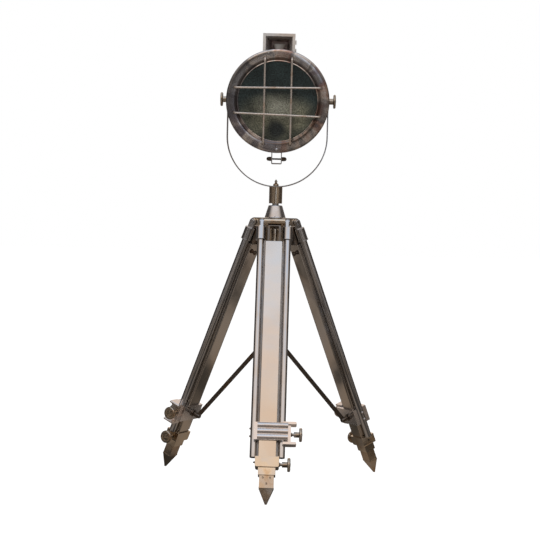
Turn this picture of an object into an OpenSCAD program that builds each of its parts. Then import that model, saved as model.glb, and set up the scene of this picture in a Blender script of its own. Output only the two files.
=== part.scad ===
// Tripod spotlight floor lamp.
// Millimetres, +Z up, the light shines towards -Y. The origin is on the floor, in the middle of the
// lamp's footprint. Each leg is drawn in its own frame: X across the leg, -Y outwards, -Z down the leg,
// from its hinge pin. The head is drawn in its own frame, from the tilt pivot.

/* [Stand] */
// Height of the leg hinge pins above the floor
hinge_h = 871; // [800:1:960]
// Distance from the lamp's axis to each foot point
foot_r = 425; // [390:1:470]
// Distance from the lamp's axis to each leg hinge pin
hinge_r = 61; // [58:0.5:66]
// Height of the strut hub's pivots above the floor
strut_hub_h = 464; // [450:1:480]

/* [Tripod head] */
// Width of each hinge block across its leg
block_w = 70; // [64:0.5:71]
// Radius of each hinge block's round end, half its height
block_r = 13; // [11:0.5:15]
// Diameter of the hinge pins
hinge_pin_d = 10; // [8:0.5:11]
// Height of the cone
cone_h = 42; // [32:1:52]
// Diameter of the cone at its base
cone_base_d = 71; // [64:0.5:76]
// Diameter of the cone at its top
cone_top_d = 46; // [38:0.5:50]
// Diameter of the spigot that the head turns on
spigot_d = 18; // [14:0.5:20]
// Height of the collar that shows between cone and cap
collar_h = 6; // [4:0.5:10]
// Diameter of that collar
collar_d = 22; // [21:0.5:28]
// Diameter of the swivel cap
cap_d = 44; // [38:0.5:50]
// Height of the swivel cap
cap_h = 54; // [46:1:62]

/* [Legs] */
// Diameter of the round rods
rod_d = 22; // [20:0.5:23]
// Wall of the round rods
rod_wall = 1.5; // [1:0.1:3]
// Distance between the two rods of a leg
rod_spacing = 88.5; // [86:0.5:92]
// Diameter of the ferrules on the rods
ferrule_d = 32; // [28:0.5:34]
// Height of the ferrules
ferrule_h = 43; // [36:0.5:48]
// Thickness of the flat hinge lugs
lug_t = 9; // [7:0.5:10]
// Depth of the flat hinge lugs
lug_d = 20; // [18:0.5:24]
// Distance between the hinge lugs of a leg, centre to centre
lug_spacing = 84; // [83:0.5:86]
// Width of the box panel
panel_w = 56; // [52:0.5:58]
// Depth of the box panel
panel_d = 40; // [36:0.5:42]
// Wall of the box panel
panel_wall = 2; // [1.5:0.1:3]

/* [Clamp bracket] */
// Height of the clamp bracket
clamp_h = 56; // [52:1:62]
// Depth of the clamp bracket
clamp_d = 54; // [50:0.5:58]
// Reach of the clamp bracket to the knob's side
clamp_right = 63; // [61:0.5:66]
// Length of rod that stands out below the clamp bracket
rod_tail = 52; // [46:1:60]
// Thickness of the knob bracket's web
web_t = 9; // [7:0.5:11]
// Thickness of the two lips
lip_t = 8; // [6:0.5:9]
// Reach of the lips past the web
lip_reach = 17.5; // [14:0.5:22]

/* [Shoe and foot] */
// Width of the shoe
shoe_w = 75; // [72:0.5:80]
// Depth of the shoe
shoe_d = 50; // [47:0.5:54]
// Height of the shoe's main block
shoe_h = 33; // [30:0.5:38]
// Height of the shoe's lower step
nose_h = 24.5; // [20:0.5:30]
// Width of the shoe's lower step
nose_w = 54; // [51:0.5:58]
// Depth of the shoe's lower step
nose_d = 38; // [36:0.5:42]
// Width of the foot bar
foot_w = 45.5; // [42:0.5:48]
// Depth of the foot bar
foot_d = 30; // [27:0.5:32]
// Length of foot bar that shows above the spike
sleeve_h = 40; // [36:0.5:46]
// Length of the pyramid spike
spike_len = 49; // [42:0.5:56]
// Length of foot bar inside the panel
bar_hidden = 420; // [380:5:500]

/* [Struts] */
// Width of the strut bars
strut_w = 14; // [12:0.5:15]
// Thickness of the strut bars
strut_t = 6; // [4:0.5:7]
// Diameter of the strut posts
post_d = 16; // [15:0.5:18]
// Reach of the strut pivot from the leg's middle plane
strut_pivot_n = 50; // [49:0.5:53]
// Distance of the strut hub's pivots from the axis
strut_hub_r = 30; // [29:0.5:33]

/* [Knobs] */
// Diameter of the leg knobs
knob_d = 43.5; // [38:0.5:46]
// Thickness of the leg knobs
knob_t = 9.5; // [7:0.5:11]
// Diameter of the leg knobs' stems
stem_d = 17; // [14:0.5:20]
// Diameter of the leg knobs' screws
screw_d = 8; // [6:0.5:9]
// Diameter of the tilt knobs
tilt_knob_d = 46; // [40:0.5:50]
// Thickness of the tilt knobs
tilt_knob_t = 8; // [6:0.5:10]

/* [Yoke] */
// Room between the drum and the yoke's sides
yoke_side_room = 15; // [12:0.5:20]
// Room between the U strap and the yoke's lowest point
yoke_foot_room = 80; // [72:1:100]
// Thickness of the yoke's strip
yoke_t = 4; // [3:0.25:5]
// Width of the yoke's strip
yoke_w = 28; // [24:0.5:32]

/* [Head] */
// Downward tilt of the head as drawn, in degrees
head_tilt = 6; // [0:0.5:10]
// Outer radius of the drum
drum_r = 150; // [145:0.5:152]
// Length of the drum
drum_len = 172; // [150:1:190]
// Wall of the drum and of the rear cover
drum_wall = 1.2; // [1:0.1:2.5]
// Distance from the pivot to the front ring's face
face_y = 100; // [94:0.5:104]
// Reach of the front ring past the drum
ring_over = 20; // [14:0.5:24]
// Width of the front ring
ring_w = 40; // [37:0.5:46]
// Diameter of the guard's rods
guard_rod_d = 6; // [5:0.25:7]
// Distance from the middle to each guard rod
guard_off = 44; // [38:0.5:50]
// Distance of the guard rods' ends from the ring's inner edge
guard_in = 17; // [12:0.5:20]
// Thickness of the front glass
glass_t = 4; // [3:0.25:5]

/* [Vent hood] */
// Width of the hood's front frame
hood_w = 106; // [98:1:114]
// Height of the hood above the drum
hood_up = 70; // [63:0.5:77]
// Width of the frame's bars
hood_bar = 9; // [7:0.5:11]
// Diameter of the vent cap
vent_cap_d = 40; // [34:0.5:46]

/* [Shackle] */
// Outer width of the U strap
shackle_w = 35; // [32:0.5:40]
// Reach of the U strap below the drum
shackle_h = 60; // [54:0.5:66]
// Thickness of the U strap
shackle_t = 3; // [2:0.25:4]

/* [Hidden] */
$fn = 64;
leg_count = 3;
leg_angle = 360 / leg_count;
leg_nodes = ["rods", "top_lugs", "clamp", "strut_post", "panel", "panel_fittings", "shoe", "foot",
    "clamp_knob", "foot_knob", "strut"];

// Overrun of cuts
over = 2;
// Radial clearance of pins, shafts and bushes that turn
run_fit = 0.05;
// Clearance round a piece that sits in another, and between sliding pieces
seat_fit = 0.1;
slide_fit = 0.4;
// Gap between faces of pieces that move past each other
face_gap = 0.3;

// Stations down the leg, from its hinge pin
leg_len = norm([foot_r - hinge_r, hinge_h]);
lean = atan2(foot_r - hinge_r, hinge_h);
lug_drop = 23;
ferrule_cap = 8;
ferrule_lip_h = 3;
ferrule_lip = 0.8;
panel_drop = 10;
ferrule_s = lug_drop;
ferrule_end_s = ferrule_s + ferrule_h;
rod_s = ferrule_s + ferrule_cap;
panel_s = ferrule_end_s + panel_drop;
sleeve_end_s = leg_len - spike_len;
sleeve_s = sleeve_end_s - sleeve_h;
nose_end_s = sleeve_s - face_gap;
nose_s = nose_end_s - nose_h;
shoe_s = nose_s - shoe_h;
rod_end_s = shoe_s - face_gap;
clamp_end_s = rod_end_s - rod_tail;
clamp_s = clamp_end_s - clamp_h;
pivot_s = (clamp_s + clamp_end_s) / 2;

// Clamp bracket details
clamp_left = 43.5;
rib_count = 3;
rib_rise = 4;
rib_left = 33;
rib_pitch = clamp_h / rib_count;
rib_gap = 1.6;
rib_chord = rib_pitch - rib_gap;
rib_r = (rib_chord * rib_chord / 4 + rib_rise * rib_rise) / (2 * rib_rise);
web_half_d = 15;
web_lap = 3;
web_drop = 12.5;
lip_front = 24;
lip_back = 14;
lip_inner = 47;
lip_up = 4;
lip_top_s = clamp_s - lip_up + lip_t / 2;
lip_low_s = clamp_end_s + web_drop - lip_t / 2;
clamp_knob_s = (lip_top_s + lip_low_s) / 2;
point_screw_d = 4;
point_head_d = 8;
point_head_h = 4;
point_screw_len = 25;
point_share = 0.28;
pad_gap = 1.2;

// Knob details
neck_len = 9;
neck_d = 8.5;
neck_wide_d = 15;
stem_len = 16.5;
knob_round = 2;
knob_crown = 1.2;
knob_crown_share = 0.8;
tilt_stem_d = 20;
tilt_stem_len = 15;

// Panel fittings
bail_w = 44;
bail_t = 7.5;
bail_half_d = 12;
bail_round = 6;
bail_gap = 4;
bail_top = block_r + bail_gap;
stop_drop = 29;
stop_d = 16;
stop_h = 10;
stop_head_h = 4;
stop_neck_d = 11;
panel_cap_t = 3;
panel_round = 3;

// Shoe and foot details
pocket_h = 11;
pocket_fit = 0.15;
shoe_round = 6;
bar_wall = 2.5;
foot_knob_share = 0.62;
foot_knob_s = shoe_s + shoe_h * foot_knob_share;
shoe_screw_share = 0.45;
shoe_screw_s = shoe_s + shoe_h * shoe_screw_share;
shoe_screw_head_h = 6.5;
shoe_screw_len = 7;
foot_lip = 0.6;
foot_lip_h = 3.5;
foot_screw_d = 7.5;
foot_screw_shank_d = 4;
foot_screw_head_h = 1.6;
foot_screw_len = 9;
foot_screw_w = 11.3;
foot_screw_high = 33;
foot_screw_low = 14;
tip_over = 7;

// Struts
pivot_r = hinge_r + pivot_s * sin(lean) - strut_pivot_n * cos(lean);
pivot_z = hinge_h - pivot_s * cos(lean) - strut_pivot_n * sin(lean);
strut_len = norm([pivot_r - strut_hub_r, strut_hub_h - pivot_z]);
strut_lean = asin((pivot_r - strut_hub_r) / strut_len);
strut_pin_d = 5;
strut_pin_over = 1.5;
strut_side_gap = 0.3;
post_base_d = 24;
post_base_t = 5;
post_neck_d = 11;
post_neck_t = 4;
post_over = 8;
slot_clear = 2.5;
cheek_t = 4;
cheek_h = 26;
cheek_over = 10;
cheek_tip = strut_hub_r + cheek_over;
cheek_corner = cheek_over * 0.6;
hub_core_d = 19;
hub_core_flat = 1.4;
hub_core_h = 36;
rivet_d = 9;
rivet_h = 2.5;

// Tripod head
block_top = hinge_h + block_r;
cone_top = block_top + cone_h;
cap_bottom = cone_top + collar_h;
yoke_bottom = cap_bottom + cap_h;
yoke_r = drum_r + yoke_side_room + yoke_t;
shackle_drop = drum_r + shackle_h;
yoke_h = shackle_drop + yoke_foot_room;
pivot_h = yoke_bottom + yoke_h;
pin_head_d = 15;
pin_head_t = 3.5;
pin_reach = lug_spacing / 2 + lug_t / 2;
hub_bore_d = 12;
cone_shoulder = 3;
set_screw_d = 5;
set_screw_len = 12;
set_screw_up = 5;
set_screw_out = 1;
spigot_in_cone = 34;
spigot_in_cap = 40;
cap_bore = 42;
finial_stem_d = 8;
finial_stem_len = 11;
finial_d = 19;
finial_h = 23;
cap_saddle = 1.6;

// Yoke
yoke_drop = yoke_h - yoke_r;
stud_d = 10;
boss_d = 26;
boss_t = 12;
stud_end = 12;

// Front ring, glass and drum, along the light's axis from the pivot
ring_r = drum_r + ring_over;
ring_in_r = ring_r - ring_w;
ring_depth = 26;
ring_round = 5;
ring_slope_w = 8;
ring_flat_in = ring_in_r + ring_slope_w;
ring_sheet = 1.6;
ring_lip_back = 6;
ring_dish = 3.5;
ring_clear = 0.15;
glass_gap = 0.1;
glass_y = face_y - ring_lip_back - ring_sheet;
glass_over = 3;
gasket_t = 4;
gasket_w = 12;
drum_y = glass_y - glass_t - gasket_t;
drum_back_y = drum_len - drum_y;
flange_w = 8;
flange_in_r = ring_in_r - flange_w;
dome_rise = 32;
cover_lap = 14;
dome_steps = 16;
dome_r = (drum_r * drum_r + dome_rise * dome_rise) / (2 * dome_rise);
guard_r = ring_in_r + guard_in;
guard_bend = 9;
guard_front = 10;
guard_weld = 1;
guard_tilt_low = 1.5;
guard_tilt_high = -0.8;
ring_screw_in = 11;
ring_screw_r = ring_r - ring_screw_in;
ring_screw_angles = [-90, 102];
ring_screw_ds = [11, 6];
ring_screw_sink_share = 0.35;
ring_screw_ball_share = 1.25;
reflector_wall = 1;
reflector_gap = 3;
reflector_r = flange_in_r - reflector_gap;
reflector_hole_r = 23;
reflector_back = 72.8;
reflector_depth = drum_len - drum_wall - reflector_back;
reflector_rim = 24;
reflector_steps = 18;
holder_d = 40;
holder_len = 54;
holder_in = 49.6;
holder_y = drum_back_y - holder_in;
holder_bore_d = 27;
holder_bore = 26;
holder_post_d = 14;
holder_flange_d = 52;
holder_flange_t = 3;
bulb_r = 30;
bulb_reach = 47.5;
bulb_y = holder_y - bulb_reach;
bulb_base_d = 26;
bulb_neck_share = 0.42;
bulb_wall = 1;
bulb_steps = 20;
gland_in_edge = 50;
gland_z = gland_in_edge - drum_r;
gland_bore_d = 8;
gland_body_d = 20;
gland_nut_d = 26;
gland_out = 20;
gland_in = 12;
gland_nut_t = 8;

// Vent hood and cap
hood_frame_t = 3;
hood_front_y = face_y - ring_depth - face_gap - hood_frame_t;
hood_wall = 1.5;
hood_back_y = 26;
hood_back_w = 56;
hood_back_drop = 24;
hood_edge = 2;
hood_top = drum_r + hood_up;
hood_sink = 32;
hood_foot = drum_r - hood_sink;
knuckle_d = 8;
knuckle_h = 14;
knuckle_drops = [28.5, 56.5];
vent_y = 20;
vent_neck_d = 26;
vent_neck_h = 20;
vent_dish_h = 15;
vent_crown = 2.5;
vent_foot_share = 0.73;
vent_slot_w = 4;
vent_slot_h = 7;
vent_slots = 8;
vent_slot_up = 8;

// Shackle
shackle_y = 40;
shackle_d = 20;
shackle_bend = 4;
bolt_up = 17;
bolt_d = 5.5;
nut_af = 14;
nut_t = 8;
acorn_r = 6.5;
acorn_len = 8;

// The tripod's axis is set back so that the origin is in the middle of the footprint
clamp_r = hinge_r + clamp_knob_s * sin(lean);
knob_reach = clamp_right + web_t + neck_len + stem_len + knob_t;
back_reach = clamp_r * cos(60) + knob_reach * sin(60) + knob_d / 2 * cos(lean) * cos(60);
front_reach = foot_r;
axis_y = (front_reach - back_reach) / 2;

// Colours
bright = "gainsboro";
warm = "burlywood";
dark = "dimgray";
smoke = "darkslategray";

module on_axis() translate([0, axis_y, 0]) children();

module at_leg(i) on_axis() rotate([0, 0, -(i - 1) * leg_angle]) translate([0, -hinge_r, hinge_h])
    rotate([-lean, 0, 0]) children();

module at_strut(i) on_axis() rotate([0, 0, -(i - 1) * leg_angle]) translate([0, -pivot_r, pivot_z])
    rotate([-strut_lean, 0, 0]) children();

module at_head() on_axis() translate([0, 0, pivot_h]) rotate([head_tilt, 0, 0]) children();

// Turns a shape drawn up Z so that it runs along X, or so that its Z points to the light
module along_x() rotate([0, 90, 0]) children();
module to_front() rotate([90, 0, 0]) children();

// A rod along X between two places
module x_rod(d, x0, x1) translate([x0, 0, 0]) along_x() cylinder(d = d, h = x1 - x0);

// A box given by its width, its depth and its stations down the leg
module leg_box(w, d, s0, s1) translate([-w / 2, -d / 2, -s1]) cube([w, d, s1 - s0]);

// A flat rectangle with round corners
module round_rect(w, h, r) {
    square([w - 2 * r, h], center = true);
    square([w, h - 2 * r], center = true);
    for (x = [-1, 1], y = [-1, 1]) translate([x * (w / 2 - r), y * (h / 2 - r)]) circle(r = r);
}

// Points on an arc
function arc(centre, r, a0, a1, steps) =
    [for (k = [0 : steps]) let (a = a0 + (a1 - a0) * k / steps) centre + r * [cos(a), sin(a)]];

// Knob on its screw, along X from the face that its neck stands on
module knob(screw_len) {
    x_rod(screw_d, -screw_len, over);
    along_x() cylinder(d1 = neck_wide_d, d2 = neck_d, h = neck_len / 2);
    x_rod(neck_d, neck_len / 2 - over, neck_len);
    x_rod(stem_d, neck_len, neck_len + stem_len);
    translate([neck_len + stem_len, 0, 0]) along_x() knob_disc(knob_d, knob_t);
}

module knob_disc(d, t) rotate_extrude() {
    square([d / 2 - knob_round, t]);
    translate([0, knob_round]) square([d / 2, t - 2 * knob_round]);
    translate([d / 2 - knob_round, knob_round]) circle(r = knob_round);
    translate([d / 2 - knob_round, t - knob_round]) circle(r = knob_round);
    polygon([[0, t], [0, t + knob_crown], [d / 4, t + knob_crown * knob_crown_share],
        [d / 2 - knob_round, t]]);
}

// Screw with a pointed head, from the face that its head stands on
module point_screw(head_h, len) {
    translate([-head_h, 0, 0]) along_x() cylinder(d1 = point_head_d * point_share, d2 = point_head_d,
        h = head_h);
    x_rod(point_screw_d, -over, len);
}

// Tripod head

module hub_casting() color(warm) on_axis() difference() {
    for (i = [0 : leg_count - 1]) rotate([0, 0, -i * leg_angle]) {
        translate([-block_w / 2, -hinge_r, hinge_h - block_r]) cube([block_w, hinge_r, 2 * block_r]);
        translate([0, -hinge_r, hinge_h]) x_rod(2 * block_r, -block_w / 2, block_w / 2);
    }
    for (i = [0 : leg_count - 1]) rotate([0, 0, -i * leg_angle]) translate([0, -hinge_r, hinge_h])
        x_rod(hinge_pin_d + 2 * seat_fit, -block_w / 2 - over, block_w / 2 + over);
    translate([0, 0, hinge_h - block_r - over]) cylinder(d = hub_bore_d, h = 2 * block_r + 2 * over);
}

module hinge_pins() color(bright) on_axis()
    for (i = [0 : leg_count - 1]) rotate([0, 0, -i * leg_angle]) translate([0, -hinge_r, hinge_h]) {
        x_rod(hinge_pin_d, -pin_reach - face_gap - over / 2, pin_reach + face_gap + over / 2);
        for (side = [0, 1]) mirror([side, 0, 0]) translate([pin_reach + face_gap, 0, 0])
            along_x() rotate_extrude() {
                square([pin_head_d / 2 - pin_head_t / 2, pin_head_t]);
                square([pin_head_d / 2, pin_head_t / 2]);
                translate([pin_head_d / 2 - pin_head_t / 2, pin_head_t / 2]) circle(r = pin_head_t / 2);
            }
    }

function set_screw_end_r() = cone_base_d / 2 + (cone_top_d - cone_base_d) / 2 * set_screw_up / cone_h
    + set_screw_out - set_screw_len;

module hub_cone() color(bright) on_axis() translate([0, 0, block_top]) {
    difference() {
        rotate_extrude() polygon(concat([[0, 0], [cone_base_d / 2, 0]],
            arc([cone_top_d / 2 - cone_shoulder, cone_h - cone_shoulder], cone_shoulder, 16, 90, 6),
            [[0, cone_h]]));
        translate([0, 0, cone_h - spigot_in_cone - seat_fit]) cylinder(d = spigot_d + 2 * seat_fit,
            h = spigot_in_cone + over);
        translate([0, -set_screw_end_r(), set_screw_up]) to_front()
            cylinder(d = set_screw_d + 2 * seat_fit, h = cone_base_d);
    }
    translate([0, -set_screw_end_r() - seat_fit, set_screw_up]) to_front()
        cylinder(d = set_screw_d, h = set_screw_len);
}

module spigot() color(bright) on_axis() translate([0, 0, cone_top]) {
    translate([0, 0, -spigot_in_cone]) cylinder(d = spigot_d, h = spigot_in_cone + collar_h + spigot_in_cap);
    cylinder(d = collar_d, h = collar_h - face_gap);
}

module swivel_cap() color(warm) on_axis() difference() {
    translate([0, 0, cap_bottom]) cylinder(d = cap_d, h = cap_h + cap_saddle);
    translate([0, 0, cap_bottom - over]) cylinder(d = spigot_d + 2 * run_fit, h = cap_bore + over);
    translate([0, 0, yoke_bottom - finial_stem_len]) cylinder(d = finial_stem_d + 2 * seat_fit,
        h = finial_stem_len + cap_saddle + over);
    translate([0, yoke_w / 2 + seat_fit, yoke_bottom + yoke_r]) to_front() cylinder(r = yoke_r + seat_fit,
        h = yoke_w + 2 * seat_fit, $fn = 180);
    for (side = [0, 1]) mirror([0, side, 0]) translate([-cap_d / 2, yoke_w / 2, yoke_bottom])
        cube([cap_d, cap_d / 2, cap_saddle + over]);
}

module yoke() color(bright) on_axis() translate([0, 0, pivot_h]) difference() {
    union() {
        translate([0, 0, -yoke_drop]) intersection() {
            translate([0, yoke_w / 2, 0]) to_front() difference() {
                cylinder(r = yoke_r, h = yoke_w, $fn = 180);
                translate([0, 0, -over]) cylinder(r = yoke_r - yoke_t, h = yoke_w + 2 * over, $fn = 180);
            }
            translate([-yoke_r - over, -yoke_w, -yoke_r - over]) cube([2 * yoke_r + 2 * over,
                2 * yoke_w, yoke_r + over]);
        }
        for (side = [0, 1]) mirror([side, 0, 0]) {
            translate([yoke_r - yoke_t, -yoke_w / 2, -yoke_drop]) cube([yoke_t, yoke_w, yoke_drop]);
            x_rod(yoke_w, yoke_r - yoke_t, yoke_r);
        }
    }
    x_rod(stud_d + 2 * run_fit, -yoke_r - over, yoke_r + over);
    translate([0, 0, -yoke_h - over]) cylinder(d = finial_stem_d + 2 * seat_fit, h = 2 * yoke_t + over);
}

// Outline of the finial, as shares of its radius and height
finial_shares = [[0.92, 0], [1, 0.06], [1, 0.18], [0.86, 0.3], [0.6, 0.4], [0.46, 0.44], [0.4, 0.5],
    [0.46, 0.58], [0.52, 0.66], [0.42, 0.76], [0.2, 0.88], [0.08, 0.97], [0, 1]];

module finial() color(dark) on_axis() translate([0, 0, yoke_bottom]) {
    translate([0, 0, -finial_stem_len + seat_fit]) cylinder(d = finial_stem_d, h = finial_stem_len + yoke_t);
    translate([0, 0, yoke_t + seat_fit]) rotate_extrude() polygon(concat([[0, -over / 2],
        [finial_stem_d / 2, -over / 2], [finial_stem_d / 2, 0]],
        [for (p = finial_shares) [p[0] * finial_d / 2, p[1] * finial_h]]));
}

// Strut hub

module strut_hub() color(dark) on_axis() translate([0, 0, strut_hub_h]) difference() {
    union() {
        translate([0, 0, -hub_core_h / 2]) cylinder(d = hub_core_d, h = hub_core_h);
        for (i = [0 : leg_count - 1], side = [0, 1]) rotate([0, 0, -i * leg_angle]) mirror([side, 0, 0])
            translate([strut_t / 2 + strut_side_gap, 0, 0]) {
                rotate([90, 0, 90]) linear_extrude(cheek_t) polygon([[0, -cheek_h / 2],
                    [cheek_corner - cheek_tip, -cheek_h / 2], [-cheek_tip, cheek_corner - cheek_h / 2],
                    [-cheek_tip, cheek_h / 2 - cheek_corner], [cheek_corner - cheek_tip, cheek_h / 2],
                    [0, cheek_h / 2]]);
                translate([0, -strut_hub_r, 0]) x_rod(rivet_d, cheek_t / 2, cheek_t + rivet_h);
            }
    }
    for (i = [0 : leg_count - 1]) rotate([0, 0, -i * leg_angle])
        translate([-strut_t / 2 - strut_side_gap, -strut_hub_r - cheek_h, -cheek_h])
            cube([strut_t + 2 * strut_side_gap, strut_hub_r + cheek_h - hub_core_d / 2 + hub_core_flat,
                2 * cheek_h]);
}

// Legs

module leg_rods(i) color(bright) at_leg(i) for (side = [-1, 1]) translate([side * rod_spacing / 2, 0, 0])
    difference() {
        translate([0, 0, -rod_end_s]) cylinder(d = rod_d, h = rod_end_s - rod_s);
        translate([0, 0, -rod_end_s - over]) cylinder(d = rod_d - 2 * rod_wall,
            h = rod_end_s - rod_s + 2 * over);
        if (side > 0) translate([0, 0, -clamp_knob_s]) x_rod(screw_d + 2 * seat_fit, -rod_d, rod_d);
        if (side < 0) for (s = point_stations()) translate([0, 0, -s])
            x_rod(point_screw_d + 2 * seat_fit, -rod_d, rod_d);
    }

function point_stations() = [clamp_s + clamp_h * point_share, clamp_end_s - clamp_h * point_share];

module leg_top_lugs(i) color(bright) at_leg(i) for (side = [0, 1]) mirror([side, 0, 0]) difference() {
    union() {
        translate([rod_spacing / 2, 0, -ferrule_end_s]) cylinder(d = ferrule_d, h = ferrule_h);
        translate([rod_spacing / 2, 0, -ferrule_end_s]) cylinder(d = ferrule_d + 2 * ferrule_lip,
            h = ferrule_lip_h);
        translate([lug_spacing / 2 - lug_t / 2, -lug_d / 2, -ferrule_s - over]) cube([lug_t, lug_d,
            ferrule_s + over]);
        x_rod(lug_d, lug_spacing / 2 - lug_t / 2, lug_spacing / 2 + lug_t / 2);
    }
    translate([rod_spacing / 2, 0, -ferrule_end_s - over]) cylinder(d = rod_d + 2 * seat_fit,
        h = ferrule_h - ferrule_cap + over);
    x_rod(hinge_pin_d + 2 * run_fit, lug_spacing / 2 - lug_t, lug_spacing / 2 + lug_t);
}

module rib_bar() intersection() {
    translate([0, rib_r - rib_rise, 0]) x_rod(2 * rib_r, -rib_left, clamp_right);
    translate([-rib_left, -rib_rise, -rib_chord / 2]) cube([rib_left + clamp_right, 2 * rib_rise, rib_chord]);
}

// Ear of the knob bracket: a flat lip with a round nose, at a station down the leg
module lip(s) translate([0, 0, -s]) {
    translate([lip_inner, -lip_front, -lip_t / 2]) cube([clamp_right + web_t + lip_reach - lip_inner
        - lip_t / 2, lip_front + lip_back, lip_t]);
    translate([clamp_right + web_t + lip_reach - lip_t / 2, lip_back, 0]) to_front()
        cylinder(d = lip_t, h = lip_front + lip_back);
}

module leg_clamp(i) color(bright) at_leg(i) {
    difference() {
        union() {
            translate([-clamp_left, -clamp_d / 2, -clamp_end_s]) cube([clamp_left + clamp_right, clamp_d,
                clamp_h]);
            for (k = [0 : rib_count - 1]) translate([0, -clamp_d / 2, -clamp_s - (k + 0.5) * rib_pitch])
                rib_bar();
            translate([clamp_right - web_lap, -web_half_d, -clamp_end_s - web_drop]) cube([web_lap + web_t,
                2 * web_half_d, clamp_h + web_drop + lip_up]);
            lip(lip_top_s);
            lip(lip_low_s);
        }
        leg_box(panel_w + 2 * slide_fit, panel_d + 2 * slide_fit, clamp_s - lip_t, clamp_end_s + over);
        for (side = [-1, 1]) translate([side * rod_spacing / 2, 0, -rod_end_s]) cylinder(d = rod_d
            + 2 * seat_fit, h = rod_end_s - rod_s);
        translate([0, 0, -clamp_knob_s]) x_rod(screw_d + 2 * run_fit, 0, clamp_right + web_t + over);
        for (s = point_stations()) translate([0, 0, -s]) x_rod(point_screw_d + 2 * seat_fit, -clamp_left
            - over, 0);
    }
    for (s = point_stations()) translate([-rod_spacing / 2 - rod_d / 2 - seat_fit, 0, -s])
        point_screw(point_head_h, point_screw_len);
}

module leg_strut_post(i) color(dark) at_leg(i) translate([0, 0, -pivot_s]) {
    difference() {
        rotate([-90, 0, 0]) {
            translate([0, 0, clamp_d / 2]) cylinder(d = post_base_d, h = post_base_t);
            translate([0, 0, clamp_d / 2]) cylinder(d = post_neck_d, h = post_base_t + post_neck_t + over);
            translate([0, 0, clamp_d / 2 + post_base_t + post_neck_t]) cylinder(d = post_d,
                h = strut_pivot_n + post_over - clamp_d / 2 - post_base_t - post_neck_t);
        }
        translate([-strut_t / 2 - strut_side_gap, strut_pivot_n - strut_w / 2 - slot_clear, -post_d])
            cube([strut_t + 2 * strut_side_gap, strut_w + post_over + over, 2 * post_d]);
        translate([0, strut_pivot_n, 0]) x_rod(strut_pin_d + 2 * seat_fit, -post_d, post_d);
    }
    translate([0, strut_pivot_n, 0]) x_rod(strut_pin_d, -post_d / 2 - strut_pin_over, post_d / 2
        + strut_pin_over);
}

module leg_strut(i) color(dark) at_strut(i) difference() {
    union() {
        translate([-strut_t / 2, -strut_w / 2, 0]) cube([strut_t, strut_w, strut_len]);
        for (z = [0, strut_len]) translate([0, 0, z]) x_rod(strut_w, -strut_t / 2, strut_t / 2);
    }
    x_rod(strut_pin_d + 2 * run_fit, -strut_t, strut_t);
}

module leg_panel(i) color(bright) at_leg(i) difference() {
    union() {
        leg_box(panel_w, panel_d, panel_s + panel_round, shoe_s + pocket_h - seat_fit);
        leg_box(panel_w - 2 * panel_round, panel_d, panel_s, panel_s + 2 * panel_round);
        for (side = [-1, 1]) translate([side * (panel_w / 2 - panel_round), panel_d / 2, -panel_s
            - panel_round]) to_front() cylinder(r = panel_round, h = panel_d);
    }
    leg_box(panel_w - 2 * panel_wall, panel_d - 2 * panel_wall, panel_s + panel_cap_t, shoe_s + pocket_h
        + over);
}

module leg_panel_fittings(i) color(dark) at_leg(i) {
    difference() {
        union() {
            leg_box(bail_w, 2 * bail_half_d, bail_top + bail_round, panel_s);
            leg_box(bail_w - 2 * bail_round, 2 * bail_half_d, bail_top, bail_top + 2 * bail_round);
            for (side = [-1, 1]) translate([side * (bail_w / 2 - bail_round), bail_half_d, -bail_top
                - bail_round]) to_front() cylinder(r = bail_round, h = 2 * bail_half_d);
        }
        leg_box(bail_w - 2 * bail_t, 2 * bail_half_d + 2 * over, bail_top + bail_t / 2, panel_s + over);
    }
    translate([0, panel_d / 2, -panel_s - stop_drop]) rotate([-90, 0, 0]) {
        cylinder(d = stop_neck_d, h = stop_h);
        translate([0, 0, stop_h - stop_head_h]) cylinder(d = stop_d, h = stop_head_h);
    }
    translate([-shoe_w / 2 - seat_fit, 0, -shoe_screw_s]) point_screw(shoe_screw_head_h,
        shoe_screw_len);
}

module leg_shoe(i) color(warm) at_leg(i) difference() {
    union() {
        leg_box(shoe_w, shoe_d, shoe_s, nose_s - shoe_round);
        leg_box(shoe_w - 2 * shoe_round, shoe_d, nose_s - 2 * shoe_round, nose_s);
        for (side = [-1, 1]) translate([side * (shoe_w / 2 - shoe_round), shoe_d / 2, shoe_round
            - nose_s]) to_front() cylinder(r = shoe_round, h = shoe_d);
        leg_box(nose_w, nose_d, nose_s - over, nose_end_s);
    }
    leg_box(panel_w + 2 * pocket_fit, panel_d + 2 * pocket_fit, shoe_s - over, shoe_s + pocket_h);
    leg_box(foot_w + 2 * slide_fit, foot_d + 2 * slide_fit, shoe_s, nose_end_s + over);
    translate([0, 0, -foot_knob_s]) x_rod(screw_d + 2 * run_fit, 0, shoe_w);
    translate([0, 0, -shoe_screw_s]) x_rod(point_screw_d + 2 * seat_fit, -shoe_w, -shoe_w / 2
        + shoe_screw_len + seat_fit);
}

// Four-sided spike, as two crossed wedges
module spike() intersection() {
    translate([0, foot_d, 0]) to_front() linear_extrude(2 * foot_d) polygon([
        [-foot_w / 2, -sleeve_end_s], [foot_w / 2, -sleeve_end_s], [0, -leg_len - tip_over]]);
    translate([-foot_w, 0, 0]) rotate([90, 0, 90]) linear_extrude(2 * foot_w) polygon([
        [-foot_d / 2, -sleeve_end_s], [foot_d / 2, -sleeve_end_s], [0, -leg_len - tip_over]]);
}

function foot_screw_places() = [[-foot_screw_w, sleeve_end_s - foot_screw_high],
    [foot_screw_w, sleeve_end_s - foot_screw_high], [0, sleeve_end_s - foot_screw_low]];

module foot_screw_holes() for (p = foot_screw_places()) translate([p[0], 0, -p[1]]) to_front()
    cylinder(d = foot_screw_shank_d + 2 * seat_fit, h = foot_d);

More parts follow.
